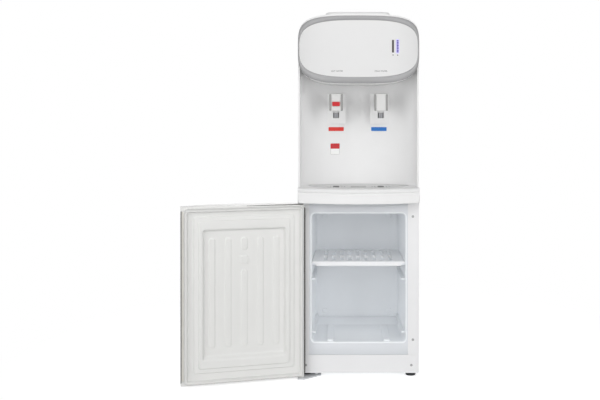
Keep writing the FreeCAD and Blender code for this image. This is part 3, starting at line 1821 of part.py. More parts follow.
def build():
    """Give every node's shape by name."""
    right_side = side_panel()
    return {
        "side_panel_left": mirrored(right_side),
        "side_panel_right": right_side,
        "base_plate": base_plate(),
        "levelling_feet": levelling_feet(),
        "kick_panel": kick_panel(),
        "cabinet_liner": cabinet_liner(),
        "front_screws": front_screws(),
        "tank_deck": tank_deck(),
        "tank_shelf": tank_shelf(),
        "back_panel": back_panel(),
        "front_panel": front_panel(),
        "display_housing": display_housing(),
        "display_panel": display_panel(),
        "display_bezel": display_bezel(),
        "indicator_bars": indicator_bars(),
        "control_board": control_board(),
        "top_cover": top_cover(),
        "bottle_collar": bottle_collar(),
        "cold_tank": cold_tank(),
        "cold_tank_jacket": cold_tank_jacket(),
        "evaporator_coil": evaporator_coil(),
        "hot_tank": hot_tank(),
        "hot_tank_jacket": hot_tank_jacket(),
        "heater_band": heater_band(),
        "hot_thermostat": hot_thermostat(),
        "water_tubes": water_tubes(),
        "drain_tube": drain_tube(),
        "drain_cap": drain_cap(),
        "hot_tap_body": tap_body(-1),
        "cold_tap_body": tap_body(1),
        "hot_tap_lever": hot_tap_lever(),
        "cold_tap_lever": tap_lever(1),
        "hot_lock_button": hot_lock_button(),
        "tap_nozzles": tap_nozzles(),
        "tap_lever_pins": tap_lever_pins(),
        "tap_nuts": tap_nuts(),
        "drip_tray": drip_tray(),
        "drip_grille": drip_grille(),
        "shelf": shelf(),
        "door_skin": swing(door_skin()),
        "door_top_cap": swing(door_cap(door_high_z - door_cap_height)),
        "door_bottom_cap": swing(door_cap(door_low_z)),
        "door_liner": swing(door_liner()),
        "door_gasket": swing(door_gasket()),
        "door_core": swing(door_core()),
        "hinge_bushes": swing(hinge_bushes()),
        "lower_hinge_plate": lower_hinge_plate(),
        "upper_hinge_plate": upper_hinge_plate(),
        "compressor": compressor(),
        "compressor_mounts": compressor_mounts(),
        "condenser_coil": condenser_coil(),
        "condenser_wires": condenser_wires(),
        "condenser_clips": condenser_clips(),
        "filter_drier": filter_drier(),
        "refrigerant_lines": refrigerant_lines(),
        "switch_housing": switch_housing(),
        "hot_switch": rocker(switch_z[0]),
        "cold_switch": rocker(switch_z[1]),
        "cord_gland": cord_gland(),
    }


os.makedirs("parts", exist_ok=True)
for node, shape in build().items():
    shape.exportStep("parts/" + node + ".step")
    print(node, len(shape.Solids), shape.isValid(), round(shape.Volume / 1000, 2))
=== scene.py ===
"""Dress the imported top-loading water cooler: finishes, formed surfaces, trim, stage and camera.

Sizes are millimetres in the part's own frame and become metres when a mesh is made. X runs to the
right seen from the front, the front faces -Y and Z is up. A depth is measured back from the plane
of the front posts. Angles are degrees. An upright outline is given by its half width, lowest Z and
highest Z, and a span by its two ends.
"""
import logging
import math
from collections.abc import Callable
from dataclasses import dataclass, field, replace
from enum import Enum

import bmesh
import bpy
import numpy as np
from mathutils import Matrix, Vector

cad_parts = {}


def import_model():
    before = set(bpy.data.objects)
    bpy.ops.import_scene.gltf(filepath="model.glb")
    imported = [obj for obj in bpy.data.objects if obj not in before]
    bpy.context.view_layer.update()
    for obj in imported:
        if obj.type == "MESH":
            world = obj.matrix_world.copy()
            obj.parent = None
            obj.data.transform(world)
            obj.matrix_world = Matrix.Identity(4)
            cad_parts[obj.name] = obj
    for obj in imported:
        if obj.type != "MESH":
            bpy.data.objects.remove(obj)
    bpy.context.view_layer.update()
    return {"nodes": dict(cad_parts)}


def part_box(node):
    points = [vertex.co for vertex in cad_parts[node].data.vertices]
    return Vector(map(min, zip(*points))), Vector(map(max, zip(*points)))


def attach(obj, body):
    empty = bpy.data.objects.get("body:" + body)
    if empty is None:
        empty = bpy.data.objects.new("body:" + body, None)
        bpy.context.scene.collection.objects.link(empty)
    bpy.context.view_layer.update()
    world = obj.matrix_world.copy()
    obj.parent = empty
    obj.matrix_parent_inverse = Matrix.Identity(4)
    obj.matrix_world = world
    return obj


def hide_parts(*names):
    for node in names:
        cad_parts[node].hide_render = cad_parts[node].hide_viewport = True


MM = 0.001
FRONT_Y = -160.0

# The curve that turns sRGB to linear: a straight foot up to the knee, then a power.
SRGB_KNEE = 0.04045
SRGB_SLOPE = 12.92
SRGB_OFFSET = 0.055
SRGB_POWER = 2.4
# What all finishes share: spread of the roughness, strength of the relief, detail of the slow tone.
ROUGHNESS_SPREAD = 0.12
RELIEF_STRENGTH = 0.6
DRIFT_DETAIL = 2.0
# Points of a new surface nearer than this are merged, and shorter edges than the sliver dissolved.
MERGE = 0.001
SLIVER = 0.0005
# A CAD node's triangles join within the weld, shade smooth up to one angle and round past the other.
WELD = 0.002
SMOOTH_ANGLE = 32.0
BEVEL_ANGLE = 38.0
BEVEL_SEGMENTS = 3
# Where a thin layer's rim turns to its face, as a share of the face's level.
SHOULDER = 0.6
# Decimals kept of a sine or cosine, so that its zeros are exact and poles close.
WAVE_DECIMALS = 9

log = logging.getLogger("water_cooler")


def at(depth: float | np.ndarray) -> float | np.ndarray:
    """Turn a depth behind the front posts into a Y value."""
    return FRONT_Y + depth


def linear(code: str) -> tuple[float, float, float, float]:
    """Turn an sRGB hex colour into linear RGBA.

    Args:
        code: a colour such as "#E6E6E6".

    Returns:
        The colour as four linear numbers, opaque.
    """
    share = np.array(list(bytes.fromhex(code[1:]))) / 255
    curve = ((share + SRGB_OFFSET) / (1 + SRGB_OFFSET)) ** SRGB_POWER
    return (*np.where(share <= SRGB_KNEE, share / SRGB_SLOPE, curve).tolist(), 1.0)


def empty_tree(owner: bpy.types.Material | bpy.types.World) -> bpy.types.NodeTree:
    """Give a material or world an empty node tree.

    Args:
        owner: the material or world.

    Returns:
        Its node tree, without nodes.
    """
    owner.use_nodes = True
    owner.node_tree.nodes.clear()
    return owner.node_tree


def add_node(
    tree: bpy.types.NodeTree, kind: str, inputs: dict | None = None, settings: dict | None = None
) -> bpy.types.Node:
    """Add one node with its settings and links.

    Args:
        tree: the node tree that takes the node.
        kind: the node's type name.
        inputs: sockets by name or number, each given a value, an output or a node's first output.
        settings: properties of the node.

    Returns:
        The new node.
    """
    made = tree.nodes.new(kind)
    for key, value in (settings or {}).items():
        setattr(made, key, value)
    for key, value in (inputs or {}).items():
        source = value.outputs[0] if isinstance(value, bpy.types.Node) else value
        if isinstance(source, bpy.types.NodeSocket):
            tree.links.new(source, made.inputs[key])
        else:
            made.inputs[key].default_value = source
    return made


def add_object(name: str, data: bpy.types.ID) -> bpy.types.Object:
    """Make an object and put it in the scene.

    Args:
        name: the object's name.
        data: its mesh, curve, lamp or camera.

    Returns:
        The new object.
    """
    made = bpy.data.objects.new(name, data)
    bpy.context.scene.collection.objects.link(made)
    return made


class Texture(Enum):
    """How a surface was made, as (stretch of its grain on X, Y, Z) and noise detail."""

    MOULDED = ((1.0, 1.0, 1.0), 3.0)
    PAINTED = ((1.0, 1.0, 0.8), 1.0)
    SHEET = ((1.0, 1.0, 0.5), 0.5)
    BRUSHED_ACROSS = ((0.03, 1.0, 1.0), 2.0)
    BRUSHED_UP = ((1.0, 1.0, 0.03), 2.0)
    FOAMED = ((1.0, 1.0, 1.0), 5.0)


@dataclass(frozen=True)
class Finish:
    """One material, from what the real one is and how its surface was made.

    Sizes are millimetres: grain is the spacing of the fine relief, relief its height and drift the
    spacing of the slow change in tone, whose share is tone. The real grain of mouldings, brushed
    metal and film is a tenth of this or less, too fine to show, so it is drawn coarser.
    """

    name: str
    colour: str
    roughness: float
    texture: Texture = Texture.MOULDED
    grain: float = 0.9
    relief: float = 0.012
    drift: float = 70.0
    tone: float = 0.02
    metallic: float = 0.0
    ior: float = 1.5
    coat: float = 0.0
    glow: float = 0.0

    def material(self) -> bpy.types.Material:
        """Give the finish's material, made the first time that it is asked for.

        Returns:
            A node material with drifting tone and roughness and a fine relief.
        """
        ready = bpy.data.materials.get(self.name)
        if ready:
            return ready
        made = bpy.data.materials.new(self.name)
        tree = empty_tree(made)
        stretch, detail = self.texture.value
        spot = add_node(tree, "ShaderNodeTexCoord").outputs["Object"]
        along = add_node(tree, "ShaderNodeMapping", {"Vector": spot, "Scale": stretch})
        slow, fine = (
            add_node(
                tree, "ShaderNodeTexNoise", {"Vector": way, "Scale": 1 / (pitch * MM), "Detail": depth}
            ).outputs[0]
            for way, pitch, depth in ((spot, self.drift, DRIFT_DETAIL), (along, self.grain, detail))
        )
        full = linear(self.colour)
        dim = (*(channel * (1 - 2 * self.tone) for channel in full[:3]), 1.0)
        blend = add_node(tree, "ShaderNodeMix", {0: slow, 6: dim, 7: full}, {"data_type": "RGBA"})
        spread = ROUGHNESS_SPREAD * self.roughness
        ends = {3: self.roughness - spread, 4: self.roughness + spread}
        relief = {"Height": fine, "Strength": RELIEF_STRENGTH, "Distance": self.relief * MM}
        surface = {
            "Base Color": blend.outputs[2],
            "Roughness": add_node(tree, "ShaderNodeMapRange", {0: fine, **ends}),
            "Normal": add_node(tree, "ShaderNodeBump", relief),
            "Metallic": self.metallic,
            "IOR": self.ior,
            "Coat Weight": self.coat,
            "Emission Color": full,
            "Emission Strength": self.glow,
        }
        shader = add_node(tree, "ShaderNodeBsdfPrincipled", surface)
        add_node(tree, "ShaderNodeOutputMaterial", {"Surface": shader})
        return made


# Injection-moulded ABS: an even satin white with a barely visible eroded grain.
WHITE_ABS = Finish("moulded_white_abs", "#EAEAEA", 0.52, grain=1.1, relief=0.01)
# Polyester powder paint on steel: glossier than ABS, with a soft orange peel.
PAINTED_STEEL = Finish(
    "powder_painted_steel", "#EBEBEC", 0.36, Texture.PAINTED, grain=2.4, relief=0.014
)
# Display window, matt acrylic over a white mask.
DISPLAY_WHITE = Finish("matt_display_acrylic", "#DFDFDF", 0.48, grain=3.0, relief=0.003, tone=0.01)
# Satin silver paint on ABS: fine metal flake that mirrors softly.
SILVER_TRIM = Finish(
    "satin_silver_paint", "#979798", 0.45, grain=0.5, relief=0.004, metallic=0.3, tone=0.03
)
# Vacuum-formed polystyrene: slow waves where the sheet stretched, satin. In the cabinet its colour
# is drawn brighter than the sheet's own, as painted light inside the cavity.
LINER_SHEET_PAINTED_LIGHT = Finish(
    "vacuum_formed_liner", "#F4F7FA", 0.34, Texture.SHEET, grain=16.0, relief=0.05, coat=0.1
)
DOOR_SHEET = replace(LINER_SHEET_PAINTED_LIGHT, name="vacuum_formed_door_sheet", colour="#E2E2E0", roughness=0.36)
# The liner's flange shows the sheet's own tone and a duller face; the inside is drawn brighter as painted
# light.
LINER_FLANGE = Finish(
    "liner_flange_sheet", "#DFE2E6", 0.45, Texture.SHEET, grain=16.0, relief=0.02
)
# Moulded polystyrene: a bright, slightly glossy shelf and duller caps on the door.
SHELF_WHITE = Finish("moulded_shelf_white", "#F1F2F4", 0.32, grain=1.2, relief=0.01, coat=0.15)
CAP_PLASTIC = Finish("moulded_door_cap", "#E4E4E2", 0.4, grain=1.0)
# Soft PVC profile: dull, with a faint bloom.
GASKET = Finish("soft_pvc_gasket", "#E0E0DE", 0.55, grain=2.0, relief=0.02)
# Moulded rubber: near black and dry, with a coarse skin.
BLACK_RUBBER = Finish("moulded_black_rubber", "#17181A", 0.62, grain=0.8, relief=0.03, tone=0.1)
# Hot-dip zinc: pale grey with soft spangle. Plated hinge steel is whiter and more even.
ZINC = Finish(
    "galvanised_steel", "#C3C7CB", 0.34, Texture.PAINTED, grain=7.0, relief=0.006, tone=0.1, metallic=0.9
)
HINGE_ZINC = Finish(
    "zinc_plated_hinge", "#D6D8DA", 0.45, Texture.PAINTED, grain=4.0, relief=0.006, metallic=0.25
)
# Bright plated steel: small screws that mirror the room.
SCREW = Finish("plated_screw_steel", "#A6A6A6", 0.32, grain=0.6, relief=0.01, metallic=1.0)
# Foamed polystyrene: matt cream with beads that show.
FOAM = Finish("foamed_polystyrene", "#EFEDE6", 0.8, Texture.FOAMED, grain=3.5, relief=0.25, tone=0.03)
# Drawn metals: fine lines along the draw, and a stain on the copper.
STAINLESS = Finish(
    "drawn_stainless", "#B9BABC", 0.26, Texture.BRUSHED_UP, grain=0.6, relief=0.006, metallic=1.0
)
COPPER = replace(
    STAINLESS, name="drawn_copper", colour="#B87350", roughness=0.3, grain=0.8, tone=0.08
)
# Bright nickel plate over brass, its colour drawn dark as a painted reflection of the shaded alcove.
NICKEL_PAINTED_DARK = replace(
    STAINLESS, name="nickel_plate", colour="#6C6D6F", roughness=0.28, grain=0.9, relief=0.008
)
# Baked enamel: black with a wet gloss over a slight orange peel.
ENAMEL = Finish(
    "baked_black_enamel", "#1D1E20", 0.33, Texture.PAINTED, grain=2.0, coat=0.25, tone=0.05
)
# Silicone tube: milky and soft.
SILICONE = Finish("silicone_tube", "#E6E2D8", 0.45, grain=1.5, relief=0.01)
# Tap mouldings: white body, brushed silver lever, red button and plain nuts. The lever's side rails
# are drawn darker grey as painted shade of their sideways faces.
TAP_PLASTIC = Finish("moulded_tap_white", "#E1E1E1", 0.34, relief=0.01)
LEVER_SILVER = Finish(
    "silver_lever_face", "#CDCDCC", 0.42, Texture.BRUSHED_ACROSS, grain=2.2, relief=0.02, metallic=0.2
)
LEVER_RAIL_SHADE = Finish("grey_lever_rail", "#8E8E8D", 0.4, grain=0.8, relief=0.008, metallic=0.3)
LOCK_RED = Finish("moulded_red_button", "#C4141F", 0.45, grain=0.8, relief=0.008)
NUT_PLASTIC = Finish("moulded_nut", "#D8D8D6", 0.45)
# Tray mouldings: a pale grey tray. The darker grey cover stands in for the shade at its recessed edge,
# and the coarse dark plates for the shadowed drain holes: both are painted shade.
TRAY_GREY = Finish("moulded_tray_grey", "#D2D2D2", 0.45, relief=0.015)
COVER_PAINTED_SHADE = Finish("moulded_cover_grey", "#B2B2B2", 0.45)
DRAIN_PAINTED_SHADE = Finish("dark_strainer", "#5B5B5C", 0.5, Texture.FOAMED, grain=1.2, relief=0.1, tone=0.15)
# Switch mouldings: a matt black housing and glossy rockers.
SWITCH_BLACK = Finish("moulded_switch_black", "#1A1A1B", 0.4)
SWITCH_RED = Finish("moulded_switch_red", "#B81F24", 0.3, coat=0.2)
SWITCH_GREEN = replace(SWITCH_RED, name="moulded_switch_green", colour="#1F7A41")
# Solder mask on glass fibre: an even satin green.
BOARD_GREEN = Finish("green_circuit_board", "#1E5A3A", 0.4)
# Printed film and ink: flat, even colours with hardly any relief.
MARK_RED = Finish("red_marker_film", "#D6291F", 0.5, grain=2.0, relief=0.004)
MARK_BLUE = replace(MARK_RED, name="blue_marker_film", colour="#1A70C2")
TAG_RED = replace(MARK_RED, name="red_tag_film", colour="#C01D24")
TAG_WHITE = replace(MARK_RED, name="white_tag_film", colour="#F3F3F2")
TAG_EDGE = replace(MARK_RED, name="grey_tag_edge", colour="#B4B4B4", roughness=0.4)
PRINT = replace(MARK_RED, name="grey_print", colour="#3C3C3E", relief=0.002)
# Acrylic light pipes: smoky when unlit, with a faint glow when lit.
BAR_DARK = Finish("unlit_light_pipe", "#382E2E", 0.4)
BAR_BLUE = Finish("lit_light_pipe", "#3A3196", 0.35, glow=0.1)
BAR_HALO = Finish("light_pipe_halo", "#CFC9F2", 0.4, glow=0.1)
# Painted shade: dark strips on the edges of the door's skin and top cap, standing in for the shadow gaps
# there.
PAINTED_SHADE_STRIP = Finish("pressed_edge_trim", "#4A4846", 0.6, grain=1.0, relief=0.02, tone=0.06)

# Each entry: a finish, the edge rounding and the names of the nodes that take them.
Dressing = tuple[tuple, ...]
# Turns two flat coordinates and a level into points in space.
Laying = Callable[[np.ndarray, np.ndarray, np.ndarray], np.ndarray]


@dataclass
class Surface:
    """Gathers grids of points, in millimetres, into one mesh."""

    name: str
    points: list[np.ndarray] = field(default_factory=list)
    faces: list[np.ndarray] = field(default_factory=list)
    coats: list[np.ndarray] = field(default_factory=list)
    count: int = 0

    def grid(
        self, points: np.ndarray, wrap_rows: bool = False, wrap_columns: bool = True, coat: int = 0
    ) -> "Surface":
        """Add one grid of quads.

        Args:
            points: an array of shape (rows, columns, 3).
            wrap_rows: joins the last row to the first.
            wrap_columns: joins the last column to the first.
            coat: which of the finishes given to build covers the grid.

        Returns:
            The surface itself, so that grids can be added in a row.
        """
        rows, columns = points.shape[:2]
        index = np.arange(rows * columns).reshape(rows, columns) + self.count
        if wrap_rows:
            index = np.concatenate([index, index[:1]])
        if wrap_columns:
            index = np.concatenate([index, index[:, :1]], axis=1)
        corners = [index[:-1, :-1], index[:-1, 1:], index[1:, 1:], index[1:, :-1]]
        self.faces.append(np.stack(corners, axis=-1).reshape(-1, 4))
        self.coats.append(np.full(len(self.faces[-1]), coat))
        self.points.append(points.reshape(-1, 3))
        self.count += rows * columns
        return self

    def build(self, *finishes: Finish, sharp: float = 40.0) -> bpy.types.Object:
        """Make the object, with poles and seams merged and faces turned outwards.

        Args:
            finishes: the materials, in the order of the grids' coats.
            sharp: the angle past which an edge stays sharp.

        Returns:
            The new object, at the origin.
        """
        mesh = bpy.data.meshes.new(self.name)
        points = np.concatenate(self.points) * MM
        mesh.from_pydata(points.tolist(), [], np.concatenate(self.faces).tolist())
        for finish in finishes:
            mesh.materials.append(finish.material())
        mesh.polygons.foreach_set("material_index", np.concatenate(self.coats))
        body = bmesh.new()
        body.from_mesh(mesh)
        bmesh.ops.remove_doubles(body, verts=body.verts, dist=MERGE * MM)
        bmesh.ops.dissolve_degenerate(body, edges=body.edges, dist=SLIVER * MM)
        bmesh.ops.recalc_face_normals(body, faces=body.faces)
        body.to_mesh(mesh)
        body.free()
        mesh.polygons.foreach_set("use_smooth", np.ones(len(mesh.polygons), dtype=bool))
        mesh.set_sharp_from_angle(angle=math.radians(sharp))
        return add_object(self.name, mesh)


def place(piece: bpy.types.Object, body: str, slot: str, *nodes: str) -> None:
    """Let a piece ride on a body and hide the CAD nodes that it stands for.

    Args:
        piece: the new piece.
        body: the body that carries it.
        slot: not used.
        nodes: CAD nodes that it replaces.
    """
    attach(piece, body)
    if nodes:
        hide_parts(*nodes)
    log.info("%s rides on %s, %d faces", piece.name, body, len(piece.data.polygons))


def smooth_by_angle() -> bpy.types.NodeTree:
    """Make the node group that shades a joined mesh smooth, except across sharp edges.

    Returns:
        The geometry node group, made once.
    """
    ready = bpy.data.node_groups.get("smooth_by_angle")
    if ready:
        return ready
    group = bpy.data.node_groups.new("smooth_by_angle", "GeometryNodeTree")
    for way in ("INPUT", "OUTPUT"):
        group.interface.new_socket("Geometry", in_out=way, socket_type="NodeSocketGeometry")
    source = add_node(group, "NodeGroupInput")
    shaded = add_node(
        group, "GeometryNodeRemoveAttribute", {"Geometry": source, "Name": "custom_normal"}
    )
    turn = add_node(group, "GeometryNodeInputMeshEdgeAngle")
    limit = math.radians(SMOOTH_ANGLE)
    gentle = add_node(group, "FunctionNodeCompare", {0: turn, 1: limit}, {"operation": "LESS_THAN"})
    for domain, smooth in (("FACE", True), ("EDGE", gentle)):
        inputs = {"Geometry": shaded, "Shade Smooth": smooth}
        shaded = add_node(group, "GeometryNodeSetShadeSmooth", inputs, {"domain": domain})
    add_node(group, "NodeGroupOutput", {0: shaded})
    return group


def dress(node: bpy.types.Object, finish: Finish, bevel: float) -> None:
    """Give a CAD node its finish and soften its edges.

    Args:
        node: the CAD node's object.
        finish: its material.
        bevel: width of the rounding on its edges, or 0 for none.
    """
    for slot in node.material_slots:
        slot.material = finish.material()
    node.modifiers.new("join", "WELD").merge_threshold = WELD * MM
    node.modifiers.new("shade", "NODES").node_group = smooth_by_angle()
    if bevel:
        edge = node.modifiers.new("edge", "BEVEL")
        edge.width = bevel * MM
        edge.segments = BEVEL_SEGMENTS
        edge.limit_method = "ANGLE"
        edge.angle_limit = math.radians(BEVEL_ANGLE)
        edge.harden_normals = True
    log.info("%s dressed in %s", node.name, finish.name)


def smoothstep(value: np.ndarray) -> np.ndarray:
    """Ease from 0 to 1: 3t^2 - 2t^3 with t held between 0 and 1."""
    held = np.clip(value, 0.0, 1.0)
    return held * held * (3 - 2 * held)


def superellipse(
    count: int, half: float, low: float, high: float, powers: tuple[float, float]
) -> np.ndarray:
    """Walk round an upright superellipse.

    At angle a, x is half |cos a|^(2/p) and z is the rise |sin a|^(2/p), each with its sign, where p
    is the first power in the upper half and the second in the lower.

    Args:
        count: number of points.
        half: half width.
        low: lowest Z.
        high: highest Z.
        powers: powers of the upper and the lower half.

    Returns:
        Points of shape (count, 2), as X and Z.
    """
    angle = np.linspace(0, 2 * np.pi, count, endpoint=False)
    across = np.cos(angle)
    upward = np.sin(angle)
    power = 2 / np.where(upward > 0, *powers)
    x = half * np.sign(across) * np.abs(across) ** power
    z = (low + high) / 2 + (high - low) / 2 * np.sign(upward) * np.abs(upward) ** power
    return np.stack([x, z], axis=1)


def rounded_ring(half: float, low: float, high: float, radius: float, steps: int = 9) -> np.ndarray:
    """Walk round an upright rounded rectangle: four quarter circles joined by straight sides.

    Args:
        half: half width.
        low: lowest Z.
        high: highest Z.
        radius: radius of the corners.
        steps: points on each quarter circle.

    Returns:
        Points of shape (4 steps, 2), as X and Z.
    """
    angle = np.arange(4)[:, None] * np.pi / 2 + np.linspace(0, np.pi / 2, steps)
    centre_x = np.array([1, -1, -1, 1])[:, None] * (half - radius)
    centre_z = np.array([high - radius, high - radius, low + radius, low + radius])[:, None]
    ring = np.stack([centre_x + radius * np.cos(angle), centre_z + radius * np.sin(angle)], axis=-1)
    return ring.reshape(-1, 2)


def eased_outline(corners: np.ndarray, reach: np.ndarray, steps: int = 6) -> np.ndarray:
    """Round the corners of a closed outline.

    Each corner P becomes the quadratic curve (1-t)^2 A + 2t(1-t) P + t^2 B, where A and B lie a
    reach away from it towards its neighbours.

    Args:
        corners: outline corners, shape (count, 2).
        reach: how far each corner's curve starts from it, shape (count,).
        steps: points on each curve.

    Returns:
        Points of shape (count steps, 2).
    """
    before = np.roll(corners, 1, axis=0) - corners
    after = np.roll(corners, -1, axis=0) - corners
    start = corners + before / np.linalg.norm(before, axis=1)[:, None] * reach[:, None]
    end = corners + after / np.linalg.norm(after, axis=1)[:, None] * reach[:, None]
    t = np.linspace(0, 1, steps)[None, :, None]
    curve = (1 - t) ** 2 * start[:, None] + 2 * t * (1 - t) * corners[:, None] + t ** 2 * end[:, None]
    return curve.reshape(-1, 2)


def drawn_in(ring: np.ndarray, shares: tuple) -> np.ndarray:
    """Copy a ring of points, each copy drawn in towards its middle to a share of its size.

    Args:
        ring: points of shape (count, axes).
        shares: the share of each copy, 0 for a point and 1 for the whole ring.

    Returns:
        Points of shape (copies, count, axes).
    """
    middle = ring.mean(axis=0)
    return middle + (ring - middle) * np.array(shares)[:, None, None]


def thin_layer(
    name: str, outline: np.ndarray, levels: tuple, shares: tuple, onto: Laying, finish: Finish
) -> bpy.types.Object:
    """Build a thin piece from copies of its outline laid on a surface.

    They spread over its foot, step up past the rim's shoulder and draw in again over its face.

    Args:
        name: the piece's name.
        outline: its rim, points of shape (count, 2).
        levels: levels of its foot and its face.
        shares: sizes of the copies over the foot, from the middle out, and over the face.
        onto: lays the copies on the surface that carries the piece.
        finish: its material.

    Returns:
        The new object.
    """
    foot, face = levels
    under, over = shares
    line = drawn_in(outline, (*under, 1.0, *over))
    level = np.array([foot] * len(under) + [SHOULDER * face] + [face] * len(over))[:, None]
    return Surface(name).grid(onto(line[..., 0], line[..., 1], level)).build(finish)


def superblock(centre: tuple, half_size: tuple, power: float, steps: int) -> np.ndarray:
    """Make a rounded block: a superellipsoid of one power about all three axes.

    At turn a and height h each of cos and sin is raised, with its sign, to 2 / power.

    Args:
        centre: middle of the block.
        half_size: half its size on X, Y and Z.
        power: 2 for an ellipsoid, more for flatter sides.
        steps: points round the turn, and half as many up.

    Returns:
        A grid that wraps on its columns, of shape (steps / 2 + 1, steps, 3).
    """
    turn = np.linspace(0, 2 * np.pi, steps, endpoint=False)[None, :]
    height = np.linspace(-np.pi / 2, np.pi / 2, steps // 2 + 1)[:, None]

    def eased(wave: np.ndarray) -> np.ndarray:
        """Raise a wave to 2 / power and keep its sign, with rounding noise at its zeros removed."""
        clean = np.round(wave, WAVE_DECIMALS)
        return np.sign(clean) * np.abs(clean) ** (2 / power)

    ring = eased(np.cos(height))
    x = ring * eased(np.cos(turn))
    y = ring * eased(np.sin(turn))
    z = eased(np.sin(height)) * np.ones_like(turn)
    return np.array(centre) + np.stack([x, y, z], axis=-1) * np.array(half_size)


def inside(x: np.ndarray, z: np.ndarray, box: tuple, radius: float) -> np.ndarray:
    """Measure the distance inside a rounded rectangle, negative outside it.

    It is radius less the length of the outward excess over the rectangle drawn in by the radius,
    plus how deep the point lies inside that smaller rectangle.

    Args:
        x: X of the points.
        z: Z of the points.
        box: half width, lowest Z and highest Z of the rectangle.
        radius: radius of its corners.

    Returns:
        The distances, in the shape of x.
    """
    half, low, high = box
    across = np.abs(x) - (half - radius)
    upward = np.abs(z - (low + high) / 2) - ((high - low) / 2 - radius)
    beyond = np.hypot(np.maximum(across, 0), np.maximum(upward, 0))
    return radius - beyond - np.minimum(np.maximum(across, upward), 0)


@dataclass
class Stage:
    """Pale floor, soft lamps, white surround and the photograph's camera."""

    camera_place: tuple = (-49.0, -2310.0, 694.0)
    lens: float = 48.8
    sensor: float = 36.0
    shift: tuple = (-0.0667, -0.1433)
    far_clip: float = 50000.0
    floor_half: float = 6000.0
    floor_colour: str = "#F2F2F2"
    floor_lift: float = 0.62
    floor_reach: tuple = (450.0, 1000.0)
    surround_colour: str = "#FFFFFF"
    ambient: float = 0.22
    # Each lamp: name, place, width and height, and watts.
    lamps: tuple = (
        ("front_softbox", (-150.0, -4300.0, 1050.0), (4600.0, 2000.0), 27.0),
        ("left_softbox", (-2600.0, -2700.0, 1150.0), (1800.0, 2200.0), 35.0),
        ("right_softbox", (2500.0, -2700.0, 1150.0), (1800.0, 2200.0), 35.0),
        ("upper_softbox", (0.0, -2500.0, 2800.0), (3200.0, 1600.0), 28.0),
        ("rear_softbox", (500.0, 3600.0, 1700.0), (3200.0, 2200.0), 34.0),
    )
    aim: tuple = (-40.0, -120.0, 480.0)

    def seen(self, tree: bpy.types.NodeTree) -> bpy.types.NodeSocket:
        """Add nodes that give 1 for rays that show the surround directly or in a mirror.

        Args:
            tree: the node tree that takes them.

        Returns:
            The output that holds the 1 or 0.
        """
        path = add_node(tree, "ShaderNodeLightPath").outputs
        shown = path["Is Camera Ray"]
        for ray in ("Is Glossy Ray", "Is Transmission Ray"):
            larger = {"operation": "MAXIMUM"}
            shown = add_node(tree, "ShaderNodeMath", {0: shown, 1: path[ray]}, larger).outputs[0]
        return shown

    def surround(self) -> None:
        """Light the scene evenly and show plain white behind the object."""
        world = bpy.data.worlds.new("white_surround")
        bpy.context.scene.world = world
        tree = empty_tree(world)
        white = linear(self.surround_colour)
        dim, bright = (
            add_node(tree, "ShaderNodeBackground", {"Color": white, "Strength": strength})
            for strength in (self.ambient, 1.0)
        )
        mix = add_node(tree, "ShaderNodeMixShader", {0: self.seen(tree), 1: dim, 2: bright})
        add_node(tree, "ShaderNodeOutputWorld", {"Surface": mix})

    def floor(self) -> None:
        """Lay a pale floor that keeps the object's shadow and turns white away from it."""
        edge = np.array([-self.floor_half, self.floor_half])
        x, y = np.meshgrid(edge, edge)
        corners = np.stack([x, y, np.zeros_like(x)], axis=-1)
        made = Surface("floor").grid(corners, wrap_columns=False).build(WHITE_ABS)
        material = bpy.data.materials.new("pale_floor")
        tree = empty_tree(material)
        matt = add_node(tree, "ShaderNodeBsdfDiffuse", {"Color": linear(self.floor_colour)})
        spot = add_node(tree, "ShaderNodeTexCoord").outputs["Object"]
        away = add_node(tree, "ShaderNodeVectorMath", {0: spot}, {"operation": "LENGTH"})
        near, far = (reach * MM for reach in self.floor_reach)
        span = {0: away.outputs["Value"], 1: near, 2: far}
        rising = add_node(tree, "ShaderNodeMapRange", span, {"interpolation_type": "SMOOTHSTEP"})
        seen = self.seen(tree)
        share, lift = (
            add_node(tree, "ShaderNodeMath", {0: seen, 1: factor}, {"operation": "MULTIPLY"})
            for factor in (rising, self.floor_lift)
        )
        shine = add_node(tree, "ShaderNodeEmission", {"Strength": lift})
        both = add_node(tree, "ShaderNodeAddShader", {0: matt, 1: shine})
        white = add_node(tree, "ShaderNodeEmission", {"Strength": 1.0})
        mix = add_node(tree, "ShaderNodeMixShader", {0: share, 1: both, 2: white})
        add_node(tree, "ShaderNodeOutputMaterial", {"Surface": mix})
        made.data.materials[0] = material

    def light(self) -> None:
        """Hang the soft lamps, aimed at the middle of the object."""
        for name, spot, size, power in self.lamps:
            lamp = bpy.data.lights.new(name, "AREA")
            lamp.shape = "RECTANGLE"
            lamp.size, lamp.size_y = (side * MM for side in size)
            lamp.energy = power
            made = add_object(name, lamp)
            made.location = np.array(spot) * MM
            way = Vector(self.aim) - Vector(spot)
            made.rotation_euler = way.to_track_quat("-Z", "Y").to_euler()

    def look(self) -> None:
        """Set the camera level at the photograph's station, framed by its shift."""
        camera = bpy.data.cameras.new("camera")
        camera.lens = self.lens
        camera.sensor_width = self.sensor
        camera.shift_x, camera.shift_y = self.shift
        camera.clip_end = self.far_clip * MM
        made = add_object("camera", camera)
        made.location = np.array(self.camera_place) * MM
        made.rotation_euler = (math.pi / 2, 0.0, 0.0)
        bpy.context.scene.camera = made

    def build(self) -> None:
        """Set up view, surround, floor, lamps and camera."""
        bpy.context.scene.view_settings.view_transform = "Standard"
        self.surround()
        self.floor()
        self.light()
        self.look()
        log.info("stage ready")


@dataclass
class Assembly:
    """A sub-assembly: the CAD nodes, and the finish and edge rounding of those that it dresses."""

    nodes: dict[str, bpy.types.Object]
    finishes: Dressing = ()

    def shape(self) -> None:
        """Add the assembly's own pieces, where it has any."""

    def build(self) -> None:
        """Dress the CAD nodes, then add the assembly's own pieces."""
        for finish, bevel, *names in self.finishes:
            for name in names:
                dress(self.nodes[name], finish, bevel)
        self.shape()


